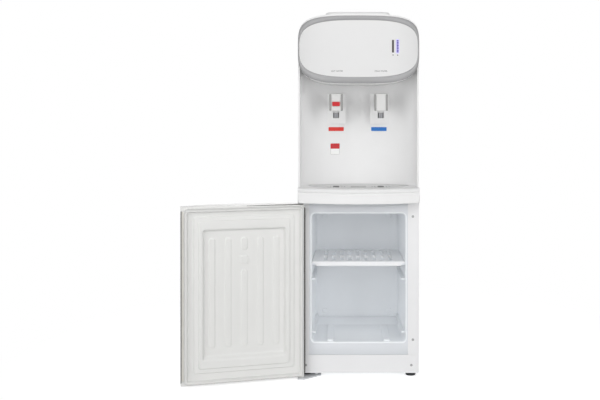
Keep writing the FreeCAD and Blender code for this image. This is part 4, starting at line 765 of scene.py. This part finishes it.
@dataclass
class Head(Assembly):
    """Oval head: hood, silver ring, light panel, light pipes and print."""

    finishes: Dressing = (
        (WHITE_ABS, 1.2, "display_housing"),
        (DISPLAY_WHITE, 0.0, "display_panel"),
        (BOARD_GREEN, 0.0, "control_board"),
        (BAR_DARK, 0.5, "indicator_bars"),
    )
    bow_radius: float = 307.0
    bow_front: float = -45.0
    ring_box: tuple = (160.3, 773.0, 948.8)
    ring_powers: tuple = (4.5, 3.35)
    ring_steps: int = 240
    ring_rows: int = 13
    ring_edge: float = 2.2
    ring_crown: float = 1.4
    ring_foot: tuple = ((0.0, 0.2), (0.0, 1.54), (0.004, 2.046))
    ring_sharp: float = 50.0
    screen_box: tuple = (156.4, 790.0, 937.0)
    screen_powers: tuple = (3.6, 3.05)
    screen_top: float = 2.2
    patch_sink: float = 0.1
    patch_steps: int = 40
    patch_shares: tuple = ((0.0, 1.0), (0.97, 0.6, 0.0))
    heating_x: float = 88.8
    cooling_x: float = 101.2
    bar_half: float = 2.65
    bar_low: float = 854.0
    bar_high: float = 887.0
    bar_segments: int = 8
    bar_gap: float = 0.9
    bar_gauge: float = 0.3
    bar_power: float = 9.0
    halo_margin: float = 2.4
    halo_gauge: float = 0.16
    halo_power: float = 5.0
    dot_z: float = 847.5
    dot_half: float = 1.5
    dot_gauge: float = 0.2
    dot_power: float = 2.0
    words: tuple = (("hot_word", "HOT WATER", -57.0), ("cold_word", "COLD WATER", 57.0))
    word_z: float = 803.6
    word_size: float = 5.18
    word_gauge: float = 0.08

    def on_bow(self, x: np.ndarray, z: np.ndarray, rise: np.ndarray) -> np.ndarray:
        """Put points on the bowed face.

        The face is an upright cylinder, so Y is the axis less the root of (radius + rise)^2 - X^2.

        Args:
            x: X of the points.
            z: Z of the points.
            rise: height above the face.

        Returns:
            Points of the same shape with a last axis of three.
        """
        axis = at(self.bow_front) + self.bow_radius
        y = axis - np.sqrt((self.bow_radius + rise) ** 2 - x ** 2)
        return np.stack([x, y, z], axis=-1)

    def on_panel(self, x: np.ndarray, z: np.ndarray, level: np.ndarray) -> np.ndarray:
        """Put points on the light panel, with level 0 sunk a little into its face."""
        return self.on_bow(x, z, self.screen_top - self.patch_sink + level)

    def ring(self) -> None:
        """Make the silver ring: a crowned band between two superellipses.

        Across the band the rise is edge + crown (1 - (2t - 1)^2), and it closes down to its foot,
        which lists shares across the band and heights.
        """
        outer = superellipse(self.ring_steps, *self.ring_box, self.ring_powers)
        inner = superellipse(self.ring_steps, *self.screen_box, self.screen_powers)
        across = np.linspace(0, 1, self.ring_rows)[1:-1]
        crown = self.ring_edge + self.ring_crown * (1 - (2 * across - 1) ** 2)
        foot, seat = np.array(self.ring_foot).T
        share = np.concatenate([foot, across, 1 - foot[::-1]])[:, None, None]
        rise = np.concatenate([seat, crown, seat[::-1]])[:, None]
        line = inner * (1 - share) + outer * share
        points = self.on_bow(line[..., 0], line[..., 1], rise)
        made = Surface("silver_ring").grid(points, wrap_rows=True)
        place(made.build(SILVER_TRIM, sharp=self.ring_sharp), "cabinet", "silver_trim", "display_bezel")

    def patch(
        self, name: str, middle: tuple, half: tuple, gauge: float, finish: Finish, power: float
    ) -> None:
        """Lay a thin superelliptic layer on the light panel.

        Args:
            name: the piece's name.
            middle: X and Z of its middle.
            half: half its width and height.
            gauge: its thickness.
            finish: its material.
            power: power of its outline.
        """
        outline = superellipse(self.patch_steps, half[0], -half[1], half[1], (power, power)) + middle
        made = thin_layer(name, outline, (0.0, gauge), self.patch_shares, self.on_panel, finish)
        place(made, "cabinet", "indicator")

    def print_words(self) -> None:
        """Print the two plain words low on the panel, bent to its bow."""
        for name, text, middle in self.words:
            curve = bpy.data.curves.new(name, "FONT")
            curve.body = text
            curve.align_x = "CENTER"
            curve.size = self.word_size
            curve.extrude = self.word_gauge
            flat = add_object(name + "_flat", curve)
            bpy.context.view_layer.update()
            mesh = bpy.data.meshes.new_from_object(flat)
            bpy.data.objects.remove(flat)
            spots = np.zeros(len(mesh.vertices) * 3)
            mesh.vertices.foreach_get("co", spots)
            x, z, rise = spots.reshape(-1, 3).T
            points = self.on_bow(x + middle, z + self.word_z, rise + self.screen_top) * MM
            mesh.vertices.foreach_set("co", points.ravel())
            mesh.materials.clear()
            mesh.materials.append(PRINT.material())
            place(add_object(name, mesh), "cabinet", "indicator")

    def shape(self) -> None:
        """Add the ring, the halo with its lit segments, the dots and the words."""
        self.ring()
        rise = self.bar_high - self.bar_low
        middle = (self.cooling_x, (self.bar_low + self.bar_high) / 2)
        halo = (self.bar_half + self.halo_margin, rise / 2 + self.halo_margin)
        self.patch("blue_halo", middle, halo, self.halo_gauge, BAR_HALO, self.halo_power)
        pitch = rise / self.bar_segments
        lit = (self.bar_half, (pitch - self.bar_gap) / 2)
        for index in range(self.bar_segments):
            spot = (self.cooling_x, self.bar_low + (index + 0.5) * pitch)
            self.patch(f"blue_light_bar_{index + 1}", spot, lit, self.bar_gauge, BAR_BLUE, self.bar_power)
        dot = (self.dot_half, self.dot_half)
        for side, x in (("heating", self.heating_x), ("cooling", self.cooling_x)):
            self.patch(side + "_dot", (x, self.dot_z), dot, self.dot_gauge, PRINT, self.dot_power)
        self.print_words()


@dataclass
class BottleSeat(Assembly):
    """Round-shouldered top and the moulded seat for the bottle."""

    finishes: Dressing = ((WHITE_ABS, 1.0, "top_cover"),)
    axis_y: float = -10.0
    turn_steps: int = 160
    neck_radius: float = 29.0
    neck_wall: float = 2.0
    neck_height: float = 30.0
    neck_shoulder: float = 6.0
    bowl_radius: float = 80.0
    bowl_drop: float = 3.0
    lip_radius: float = 82.0
    rim_run: float = 3.0
    rim_drop: float = 4.0
    skirt_radius: float = 83.0
    skirt_drop: float = 17.4
    under_drop: float = 9.0
    reaches: tuple = (0.6, 7.0, 1.6, 1.4, 2.6, 3.0, 0.8, 0.8, 2.0, 5.0, 0.6)
    square_from: float = 82.0
    square_to: float = 87.0
    square_power: float = 7.0
    sharp: float = 60.0

    def section(self) -> np.ndarray:
        """Draw the seat's section: up the neck, over the bowl and rim, and back under them.

        Returns:
            Points of shape (count, 2), as radius and Z.
        """
        low, high = (np.array(corner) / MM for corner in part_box("bottle_collar"))
        rim = (high[0] - low[0]) / 2
        top = high[2]
        neck_top = low[2] + self.neck_height
        neck_out = self.neck_radius + self.neck_wall
        corners = (
            (self.neck_radius, low[2]),
            (self.neck_radius, neck_top),
            (self.bowl_radius, top - self.bowl_drop),
            (self.lip_radius, top),
            (rim - self.rim_run, top),
            (rim, top - self.rim_drop),
            (rim, top - self.skirt_drop),
            (self.skirt_radius, top - self.skirt_drop),
            (self.skirt_radius, top - self.under_drop),
            (neck_out, neck_top - self.neck_shoulder),
            (neck_out, low[2]),
        )
        return eased_outline(np.array(corners), np.array(self.reaches))

    def shape(self) -> None:
        """Mould the bottle seat: its eased section carried round an upright axis.

        Seen from above, each point of the section runs round (|cos a|^p + |sin a|^p)^(-1/p) times its
        radius, where p is 2 in the round bowl and grows to the square power at the collar's outside.
        """
        radius, z = self.section().T[..., None]
        turn = np.linspace(0, 2 * np.pi, self.turn_steps, endpoint=False)
        outward = smoothstep((radius - self.square_from) / (self.square_to - self.square_from))
        power = 2 + (self.square_power - 2) * outward
        reach = radius * (np.abs(np.cos(turn)) ** power + np.abs(np.sin(turn)) ** power) ** (-1 / power)
        x = reach * np.cos(turn)
        y = reach * np.sin(turn) + self.axis_y
        points = np.stack([x, y, z + np.zeros_like(x)], axis=-1)
        made = Surface("bottle_seat").grid(points, wrap_rows=True).build(WHITE_ABS, sharp=self.sharp)
        place(made, "cabinet", "white_abs", "bottle_collar")


@dataclass
class Alcove(Assembly):
    """Concave front with its lip, colour markers and plain tag."""

    finishes: Dressing = ((WHITE_ABS, 1.0, "front_panel"),)
    half_width: float = 155.5
    sweep: float = 88.0
    edge_depth: float = 10.0
    film_steps: int = 64
    film_sink: float = 0.2
    film_shares: tuple = ((0.0, 0.25, 0.5, 0.75, 1.0), (0.985, 0.75, 0.5, 0.25, 0.0))
    marks: tuple = (("hot_marker", -59.6, MARK_RED), ("cold_marker", 58.0, MARK_BLUE))
    mark_half: tuple = (21.0, 5.4)
    mark_z: float = 652.6
    mark_gauge: float = 0.5
    mark_power: float = 16.0
    tag_x: float = -62.6
    tag_half: float = 12.6
    tag_low: float = 582.6
    tag_split: float = 598.4
    tag_high: float = 613.0
    tag_inset: float = 0.8
    tag_edge_gauge: float = 0.2
    tag_gauge: float = 0.3
    tag_power: float = 14.0

    def on_wall(self, x: np.ndarray, z: np.ndarray, level: np.ndarray) -> np.ndarray:
        """Put points a level in front of the wall, an ellipse in plan that is deepest in the middle."""
        wall = at(self.edge_depth) + self.sweep * np.sqrt(1 - (x / self.half_width) ** 2)
        return np.stack([x, wall - level, z], axis=-1)

    def film(
        self, name: str, middle: tuple, half: tuple, gauge: float, finish: Finish, power: float
    ) -> None:
        """Stick a thin superelliptic film on the wall.

        Args:
            name: the piece's name.
            middle: X and Z of its middle.
            half: half its width and height.
            gauge: how far its face stands off the wall.
            finish: its material.
            power: power of its outline.
        """
        outline = superellipse(self.film_steps, half[0], -half[1], half[1], (power, power)) + middle
        levels = (-self.film_sink, gauge)
        made = thin_layer(name, outline, levels, self.film_shares, self.on_wall, finish)
        place(made, "cabinet", "white_abs")

    def shape(self) -> None:
        """Stick on the markers and the two-colour tag over its grey edge."""
        for name, x, finish in self.marks:
            self.film(name, (x, self.mark_z), self.mark_half, self.mark_gauge, finish, self.mark_power)
        inner = self.tag_half - self.tag_inset
        white_low = self.tag_low + self.tag_inset
        for name, finish, half, low, high, gauge in (
            ("tag_edge", TAG_EDGE, self.tag_half, self.tag_low, self.tag_high, self.tag_edge_gauge),
            ("tag_red_half", TAG_RED, self.tag_half, self.tag_split, self.tag_high, self.tag_gauge),
            ("tag_white_half", TAG_WHITE, inner, white_low, self.tag_split, self.tag_gauge),
        ):
            middle = (self.tag_x, (low + high) / 2)
            self.film(name, middle, (half, (high - low) / 2), gauge, finish, self.tag_power)


@dataclass
class Taps(Assembly):
    """Two push-lever taps with nozzles, the lock button and their hidden fixings."""

    finishes: Dressing = (
        (TAP_PLASTIC, 0.7, "hot_tap_body", "cold_tap_body"),
        (LEVER_SILVER, 1.2, "hot_tap_lever", "cold_tap_lever"),
        (LOCK_RED, 1.2, "hot_lock_button"),
        # The nozzles' nickel colour is drawn dark, a painted reflection of the shaded alcove.
        (NICKEL_PAINTED_DARK, 0.6, "tap_nozzles"),
        (STAINLESS, 0.3, "tap_lever_pins"),
        (NUT_PLASTIC, 0.6, "tap_nuts"),
    )
    levers: tuple = (("hot_lever", -59.5), ("cold_lever", 59.5))
    rail_x: float = 15.2
    rail_depth: float = 2.4
    rail_z: float = 724.6
    rail_half: tuple = (2.9, 4.0, 21.6)
    rail_power: float = 9.0
    rail_steps: int = 40

    def shape(self) -> None:
        """Mould the two rails along each lever's edges, as rounded blocks drawn darker as painted shade.
        """
        for body, middle in self.levers:
            surface = Surface(body + "_rails")
            for x in (middle - self.rail_x, middle + self.rail_x):
                centre = (x, at(self.rail_depth), self.rail_z)
                surface.grid(superblock(centre, self.rail_half, self.rail_power, self.rail_steps))
            # The rails' darker grey is painted shade of the lever's sideways faces.
            place(surface.build(LEVER_RAIL_SHADE), body, "lever_silver")


@dataclass
class DripTray(Assembly):
    """Lens-shaped tray and its grille, with two dark plates of painted shade over the drains and a middle
    cover drawn darker as painted shade.
    """

    finishes: Dressing = ((TRAY_GREY, 0.5, "drip_tray"), (TRAY_GREY, 0.4, "drip_grille"))
    tap_x: float = 59.5
    drain_half: float = 8.2
    drain_span: tuple = (-3.2, 41.2)
    drain_radius: float = 8.1
    drain_sink: float = 1.5
    cover_half: float = 20.5
    cover_span: tuple = (-2.0, 44.0)
    cover_radius: float = 3.0
    cover_sink: float = 0.1
    rise: float = 0.25
    plate_shares: tuple = ((0.0, 1.0), (0.96, 0.5, 0.0))

    def on_grille(self, x: np.ndarray, depth: np.ndarray, level: np.ndarray) -> np.ndarray:
        """Put points a level above the grille's top."""
        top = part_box("drip_grille")[1][2] / MM
        return np.stack([x, at(depth), top + level + np.zeros_like(x)], axis=-1)

    def shape(self) -> None:
        """Set in the dark plates of painted shade over the drains and lay on the cover, as flat rounded
        plates.
        """
        drain = rounded_ring(self.drain_half, *self.drain_span, self.drain_radius)
        cover = rounded_ring(self.cover_half, *self.cover_span, self.cover_radius)
        # The drain plates and the cover are dark as painted shade.
        for name, x, outline, sink, finish in (
            ("hot_strainer", -self.tap_x, drain, self.drain_sink, DRAIN_PAINTED_SHADE),
            ("cold_strainer", self.tap_x, drain, self.drain_sink, DRAIN_PAINTED_SHADE),
            ("grille_cover", 0.0, cover, self.cover_sink, COVER_PAINTED_SHADE),
        ):
            rim = outline + (x, 0.0)
            levels = (-sink, self.rise)
            made = thin_layer(name, rim, levels, self.plate_shares, self.on_grille, finish)
            place(made, "drip_grille", "tray_grey")


@dataclass
class Cabinet(Assembly):
    """Steel casing, formed liner, shelf, screws and feet."""

    finishes: Dressing = (
        (PAINTED_STEEL, 0.0, "side_panel_left", "side_panel_right", "kick_panel"),
        (ZINC, 0.0, "base_plate", "tank_deck", "tank_shelf"),
        (HINGE_ZINC, 0.5, "lower_hinge_plate", "upper_hinge_plate"),
        (BLACK_RUBBER, 0.5, "levelling_feet"),
        (SCREW, 0.15, "front_screws"),
        (SHELF_WHITE, 0.5, "shelf"),
    )
    front: float = 1.2
    wall: float = 2.5
    flange: tuple = (150.0, 57.5, 461.2)
    flange_radius: float = 1.5
    flange_ease: float = 0.4
    mouth: tuple = (123.5, 92.0, 430.0)
    mouth_radius: float = 9.0
    least_radius: float = 1.0
    depth: float = 212.0
    draft: tuple = (4.5, 3.0, 6.0)
    roll: float = 4.0
    corner: float = 10.0
    quarter_steps: int = 7
    sharp: float = 50.0
    step_depth: float = 49.0
    step_height: float = 16.0
    step_top: float = 17.0
    step_reaches: tuple = (0.2, 3.5, 0.3, 0.2)
    step_steps: int = 8
    ledge_tops: tuple = (298.3, 258.3, 118.0)
    ledge_span: tuple = (8.0, 203.0)
    ledge_half: tuple = (6.2, 2.25)
    ledge_power: float = 12.0
    bar_x: float = 75.0
    bar_rise: float = 1.5
    bar_half: tuple = (9.5, 3.0)
    bar_power: float = 10.0
    block_steps: int = 40
    boss_x: float = 93.0
    boss_z: tuple = (399.0, 124.0)
    boss_half: tuple = (7.0, 2.2, 7.0)
    boss_power: float = 3.0
    boss_steps: int = 24

    def ring_at(self, grow: float, depth: float) -> np.ndarray:
        """Give the liner's drafted outline at a depth.

        Args:
            grow: how far the outline is offset outwards.
            depth: depth of its plane.

        Returns:
            Points of shape (count, 3).
        """
        along = (depth - self.front) / (self.depth - self.front)
        half = self.mouth[0] - self.draft[0] * along + grow
        low = self.mouth[1] + self.draft[1] * along - grow
        high = self.mouth[2] - self.draft[2] * along + grow
        ring = rounded_ring(half, low, high, max(self.mouth_radius + grow, self.least_radius))
        return np.insert(ring, 1, at(depth), axis=1)

    def flange_ring(self, depth: float, inset: float) -> np.ndarray:
        """Give the flange's outer edge at a depth.

        Args:
            depth: depth of its plane.
            inset: how far the edge is drawn in.

        Returns:
            Points of shape (count, 3).
        """
        half, low, high = self.flange
        ring = rounded_ring(half - inset, low + inset, high - inset, self.flange_radius)
        return np.insert(ring, 1, at(depth), axis=1)

    def shape(self) -> None:
        """Form the liner: outlines carried from its outer back round the flange to its inner back.

        The mouth rolls in along a quarter circle and the back meets the walls in another, and each
        end shrinks to a point. Step, ledges, floor bars and bosses stand on the walls as eased blocks.
        """
        front = self.front
        behind = front + self.wall
        ease = self.flange_ease
        outside = self.ring_at(self.wall, self.depth + self.wall)
        rows = [*drawn_in(outside, (0.0, 0.5)), outside, self.ring_at(self.wall, behind)]
        rows += [self.flange_ring(behind, 0.0), self.flange_ring(front + ease, 0.0)]
        rows += [self.flange_ring(front, ease)]
        edge = len(rows)
        quarter = np.linspace(0, np.pi / 2, self.quarter_steps)
        for turn in quarter:
            depth = front + self.roll * (1 - np.cos(turn))
            rows.append(self.ring_at(self.roll * (1 - np.sin(turn)), depth))
        for turn in quarter:
            depth = self.depth - self.corner * (1 - np.sin(turn))
            rows.append(self.ring_at(-self.corner * (1 - np.cos(turn)), depth))
        rows += [*drawn_in(rows[-1], (0.5, 0.0))]
        surface = Surface("storage_liner").grid(np.stack(rows[:edge]))
        surface.grid(np.stack(rows[edge - 1:edge + 1]), coat=1).grid(np.stack(rows[edge:]))
        self.add_step(surface)
        self.add_blocks(surface)
        # The liner's inside is drawn brighter than its flange, as painted light in the cavity.
        made = surface.build(LINER_SHEET_PAINTED_LIGHT, LINER_FLANGE, sharp=self.sharp)
        place(made, "cabinet", "liner_white", "cabinet_liner")

    def add_step(self, surface: Surface) -> None:
        """Add the rear floor step: an eased ramp in depth and height, drawn across the liner.

        Args:
            surface: the liner's surface.
        """
        half = self.mouth[0] - self.draft[0] + self.wall / 2
        low = self.mouth[1]
        top = low + self.step_height
        near = self.depth - self.step_depth
        ridge = self.depth - self.step_top
        far = self.depth + self.wall / 2
        corners = np.array([(near, low), (ridge, top), (far, top), (far, low)])
        section = eased_outline(corners, np.array(self.step_reaches), self.step_steps)
        line = drawn_in(section, (0.0, 1.0, 1.0, 0.0))
        x = np.array([-half, -half, half, half])[:, None] + np.zeros(line.shape[:2])
        surface.grid(np.stack([x, at(line[..., 0]), line[..., 1]], axis=-1))

    def add_blocks(self, surface: Surface) -> None:
        """Add the shelf ledges, the two floor bars and the four faint bosses.

        Args:
            surface: the liner's surface.
        """
        near, far = self.ledge_span
        ledge = (self.ledge_half[0], (far - near) / 2, self.ledge_half[1])
        length = (self.depth - self.step_depth - near) / 2
        bar = (self.bar_half[0], length, self.bar_half[1])
        for side in (-1, 1):
            for top in self.ledge_tops:
                x = side * (self.mouth[0] - self.draft[0])
                centre = (x, at((near + far) / 2), top - ledge[2])
                surface.grid(superblock(centre, ledge, self.ledge_power, self.block_steps))
            centre = (side * self.bar_x, at(near + length), self.mouth[1] + self.bar_rise)
            surface.grid(superblock(centre, bar, self.bar_power, self.block_steps))
            for z in self.boss_z:
                centre = (side * self.boss_x, at(self.depth), z)
                surface.grid(superblock(centre, self.boss_half, self.boss_power, self.boss_steps))


@dataclass
class Door(Assembly):
    """Bowed storage door: skin, caps, inner sheet and gasket, drawn closed and swung open."""

    finishes: Dressing = (
        (PAINTED_STEEL, 0.4, "door_skin"),
        (CAP_PLASTIC, 0.0, "door_top_cap", "door_bottom_cap"),
        (FOAM, 0.0, "door_core"),
        (NUT_PLASTIC, 0.0, "hinge_bushes"),
    )
    half: float = 159.0
    low: float = 5.6
    high: float = 459.0
    shift: float = -2.5
    hinge: tuple = (-151.5, -176.0)
    opening: float = 165.5
    frame: tuple = (154.0, 8.2, 453.5)
    frame_radius: float = 7.0
    level: float = -10.0
    gauge: float = 2.0
    sheet_sharp: float = 60.0
    line_pitch: float = 6.0
    line_gap: float = 0.2
    slope_lines: int = 9
    step_insets: tuple = (29.0, 40.5)
    step_drops: tuple = (25.0, 35.5)
    step_rise: float = 2.5
    step_run: float = 2.2
    recess: tuple = (108.5, 66.0, 401.5)
    recess_drop: float = 9.0
    recess_run: float = 7.0
    sill_run: float = 13.0
    rib_half: float = 9.0
    rib_radius: float = 8.9
    rib_span: tuple = (95.0, 379.0)
    rib_gap: tuple = (296.0, 342.0)
    rib_pitch: float = 41.5
    rib_count: int = 5
    rib_rise: float = 1.8
    rib_run: float = 3.4
    pad: tuple = (11.0, 306.5, 331.5)
    pad_radius: float = 6.0
    pad_rise: float = 1.44
    gasket_width: float = 10.0
    gasket_height: float = 8.9
    gasket_power: float = 0.75
    gasket_radius: float = 13.0
    gasket_least: float = 1.0
    gasket_rows: int = 25
    gasket_steps: int = 13
    gasket_sharp: float = 70.0
    # Z span of the upright strips of painted shade.
    shade_strip_span: tuple = (14.0, 449.0)
    # Each upright strip of painted shade: name, X, depth, and half sizes on X and Y.
    edge_shade_strips: tuple = (
        ("latch_edge_trim", 158.4, -10.6, 0.9, 1.6),
        ("hinge_edge_trim", -160.8, -20.0, 1.7, 9.0),
    )
    shade_strip_power: float = 14.0
    shade_strip_steps: int = 32
    # The top strip of painted shade: span on X, depth, Z, half sizes on Y and Z, and taper.
    top_shade_strip_span: tuple = (-157.5, -8.0)
    top_shade_strip_depth: float = -11.7
    top_shade_strip_z: float = 457.6
    top_shade_strip_half: tuple = (0.9, 1.15)
    top_shade_strip_taper: float = 0.25

    def swung(self, points: np.ndarray) -> np.ndarray:
        """Shift points to their place on the closed door and turn them about the hinge to the open pose.

        Args:
            points: points of the closed door, with a last axis of three.

        Returns:
            The turned points, in the same shape.
        """
        angle = -math.radians(self.opening)
        x = points[..., 0] + self.shift - self.hinge[0]
        y = points[..., 1] - self.hinge[1]
        turned_x = self.hinge[0] + x * math.cos(angle) - y * math.sin(angle)
        turned_y = self.hinge[1] + x * math.sin(angle) + y * math.cos(angle)
        return np.stack([turned_x, turned_y, points[..., 2]], axis=-1)

    def rib_middles(self) -> list[float]:
        """Give X of each rib's middle."""
        return [(index - (self.rib_count - 1) / 2) * self.rib_pitch for index in range(self.rib_count)]

    def height(self, x: np.ndarray, z: np.ndarray) -> np.ndarray:
        """Level of the formed sheet: flat frame, two steps up, recess with a long sill, ribs and a pad.

        Each form adds its rise times the eased share of its run that a point lies inside its edge.

        Args:
            x: X of the points.
            z: Z of the points.

        Returns:
            The depths, in the shape of x.
        """
        level = np.full_like(x, self.level)
        for inset, drop in zip(self.step_insets, self.step_drops):
            box = (self.half - inset, self.low + inset, self.high - drop)
            level += self.step_rise * smoothstep(inside(x, z, box, self.frame_radius) / self.step_run)
        edge = inside(x, z, self.recess, self.frame_radius)
        share = np.minimum(edge / self.recess_run, (z - self.recess[1]) / self.sill_run)
        level -= self.recess_drop * smoothstep(share)
        low, high = self.rib_span
        gap_low, gap_high = self.rib_gap
        for middle in self.rib_middles():
            spans = ((low, high),) if middle else ((low, gap_low), (gap_high, high))
            for span in spans:
                edge = inside(x - middle, z, (self.rib_half, *span), self.rib_radius)
                level += self.rib_rise * smoothstep(edge / self.rib_run)
        edge = inside(x, z, self.pad, self.pad_radius)
        return level + self.pad_rise * smoothstep(edge / self.rib_run)

    def lines(self, start: float, end: float, slopes: list[tuple]) -> np.ndarray:
        """Place grid lines at an even pitch, and closer ones across each slope.

        Args:
            start: first line.
            end: last line.
            slopes: edges of the sheet's forms, each with the run of its slope.

        Returns:
            The lines in rising order, without those that nearly meet.
        """
        coarse = np.linspace(start, end, int((end - start) / self.line_pitch) + 1)
        fine = [np.linspace(edge, edge + run, self.slope_lines) for edge, run in slopes]
        every = np.sort(np.concatenate([coarse, *fine]))
        return every[np.concatenate([[True], np.diff(every) > self.line_gap])]

    def slopes(self) -> tuple[list[tuple], list[tuple]]:
        """List the edges of the sheet's forms, each with the signed run of its slope.

        Returns:
            The upright edges, by X, and the level ones, by Z.
        """
        run = self.rib_run
        rib = self.rib_half
        x = [(self.half - inset, -self.step_run) for inset in self.step_insets]
        x.append((self.recess[0], -self.recess_run))
        x += [(-edge, -way) for edge, way in x]
        x += [(middle - side * rib, side * run) for middle in self.rib_middles() for side in (-1, 1)]
        z = [(self.low + inset, self.step_run) for inset in self.step_insets]
        z += [(self.high - drop, -self.step_run) for drop in self.step_drops]
        z += [(self.recess[1], self.sill_run), (self.recess[2], -self.recess_run)]
        z += [(low, rib) for low in (self.rib_span[0], self.rib_gap[1])]
        z += [(high, -rib) for high in (self.rib_span[1], self.rib_gap[0])]
        z += [(self.pad[1], run), (self.pad[2], -run)]
        return x, z

    def sheet(self) -> None:
        """Form the inner sheet as a height over the door's plane, with its back one gauge behind."""
        half, low, high = self.frame
        x_slopes, z_slopes = self.slopes()
        x, z = np.meshgrid(self.lines(-half, half, x_slopes), self.lines(low, high, z_slopes))
        face = np.stack([x, at(self.height(x, z)), z], axis=-1)
        behind = np.array([0.0, self.gauge, 0.0])
        rim = np.concatenate([face[0], face[1:, -1], face[-1, -2::-1], face[-2:0:-1, 0]])
        surface = Surface("door_inner_sheet")
        for side in (face, face - behind):
            surface.grid(self.swung(side), wrap_columns=False)
        surface.grid(self.swung(np.stack([rim, rim - behind])))
        made = surface.build(DOOR_SHEET, sharp=self.sheet_sharp)
        place(made, "door", "liner_white", "door_liner")

    def gasket(self) -> None:
        """Carry the gasket's bulb section round the frame: a dome, height times sin(pi t) to a power."""
        half, low, high = self.frame
        t = np.linspace(0, 1, self.gasket_rows)
        rise = self.gasket_height * np.sin(np.pi * t) ** self.gasket_power
        rows = []
        for inset, level in zip(t * self.gasket_width, rise):
            radius = max(self.gasket_radius - inset, self.gasket_least)
            ring = rounded_ring(half - inset, low + inset, high - inset, radius, self.gasket_steps)
            rows.append(np.insert(ring, 1, at(self.level + level), axis=1))
        surface = Surface("door_gasket_bulb").grid(self.swung(np.stack(rows)), wrap_rows=True)
        made = surface.build(GASKET, sharp=self.gasket_sharp)
        place(made, "door", "gasket_rubber", "door_gasket")

    def lay_shade_strips(self) -> None:
        """Lay slim dark strips of painted shade, for the shadow gaps, on the skin's two upright edges and
        a tapering one inside the top cap's.

        Each is a rounded block, and the top one's height shrinks evenly along X to the taper's share.
        """
        low, high = self.shade_strip_span
        blocks = {}
        for name, x, depth, half_x, half_y in self.edge_shade_strips:
            centre = (x - self.shift, at(depth), (low + high) / 2)
            size = (half_x, half_y, (high - low) / 2)
            blocks[name] = superblock(centre, size, self.shade_strip_power, self.shade_strip_steps)
        near, far = self.top_shade_strip_span
        centre = ((near + far) / 2 - self.shift, at(self.top_shade_strip_depth), 0.0)
        size = ((far - near) / 2, *self.top_shade_strip_half)
        block = superblock(centre, size, self.shade_strip_power, self.shade_strip_steps)
        along = (block[..., 0] + self.shift - near) / (far - near)
        block[..., 2] = self.top_shade_strip_z + block[..., 2] * (1 - (1 - self.top_shade_strip_taper) * along)
        blocks["top_edge_trim"] = block
        # Each block is a dark strip of painted shade.
        for name, points in blocks.items():
            place(Surface(name).grid(self.swung(points)).build(PAINTED_SHADE_STRIP), "door", "gasket_rubber")

    def shape(self) -> None:
        """Form the inner sheet and gasket and lay on the dark strips of painted shade."""
        self.sheet()
        self.gasket()
        self.lay_shade_strips()


@dataclass
class Works(Assembly):
    """Tanks, cooling circuit, tubes, rear panel and switches."""

    finishes: Dressing = (
        (ZINC, 0.2, "back_panel"),
        (ZINC, 0.3, "condenser_clips"),
        (STAINLESS, 0.0, "cold_tank", "hot_tank", "heater_band"),
        (FOAM, 0.0, "cold_tank_jacket", "hot_tank_jacket"),
        (COPPER, 0.0, "evaporator_coil", "refrigerant_lines", "filter_drier"),
        (SILICONE, 0.0, "water_tubes", "drain_tube"),
        (NUT_PLASTIC, 0.8, "drain_cap"),
        (ENAMEL, 0.8, "compressor"),
        (ENAMEL, 0.0, "condenser_coil", "condenser_wires"),
        (BLACK_RUBBER, 0.5, "compressor_mounts", "cord_gland"),
        (SWITCH_BLACK, 0.4, "hot_thermostat", "switch_housing"),
        (SWITCH_RED, 0.4, "hot_switch"),
        (SWITCH_GREEN, 0.4, "cold_switch"),
    )


def main() -> None:
    """Load the frame, dress each sub-assembly and set the stage."""
    logging.basicConfig(level=logging.INFO, format="%(message)s")
    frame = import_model()
    nodes = frame["nodes"]
    for part in (Head, BottleSeat, Alcove, Taps, DripTray, Cabinet, Door, Works):
        part(nodes).build()
    Stage().build()


if __name__ == "__main__":
    main()
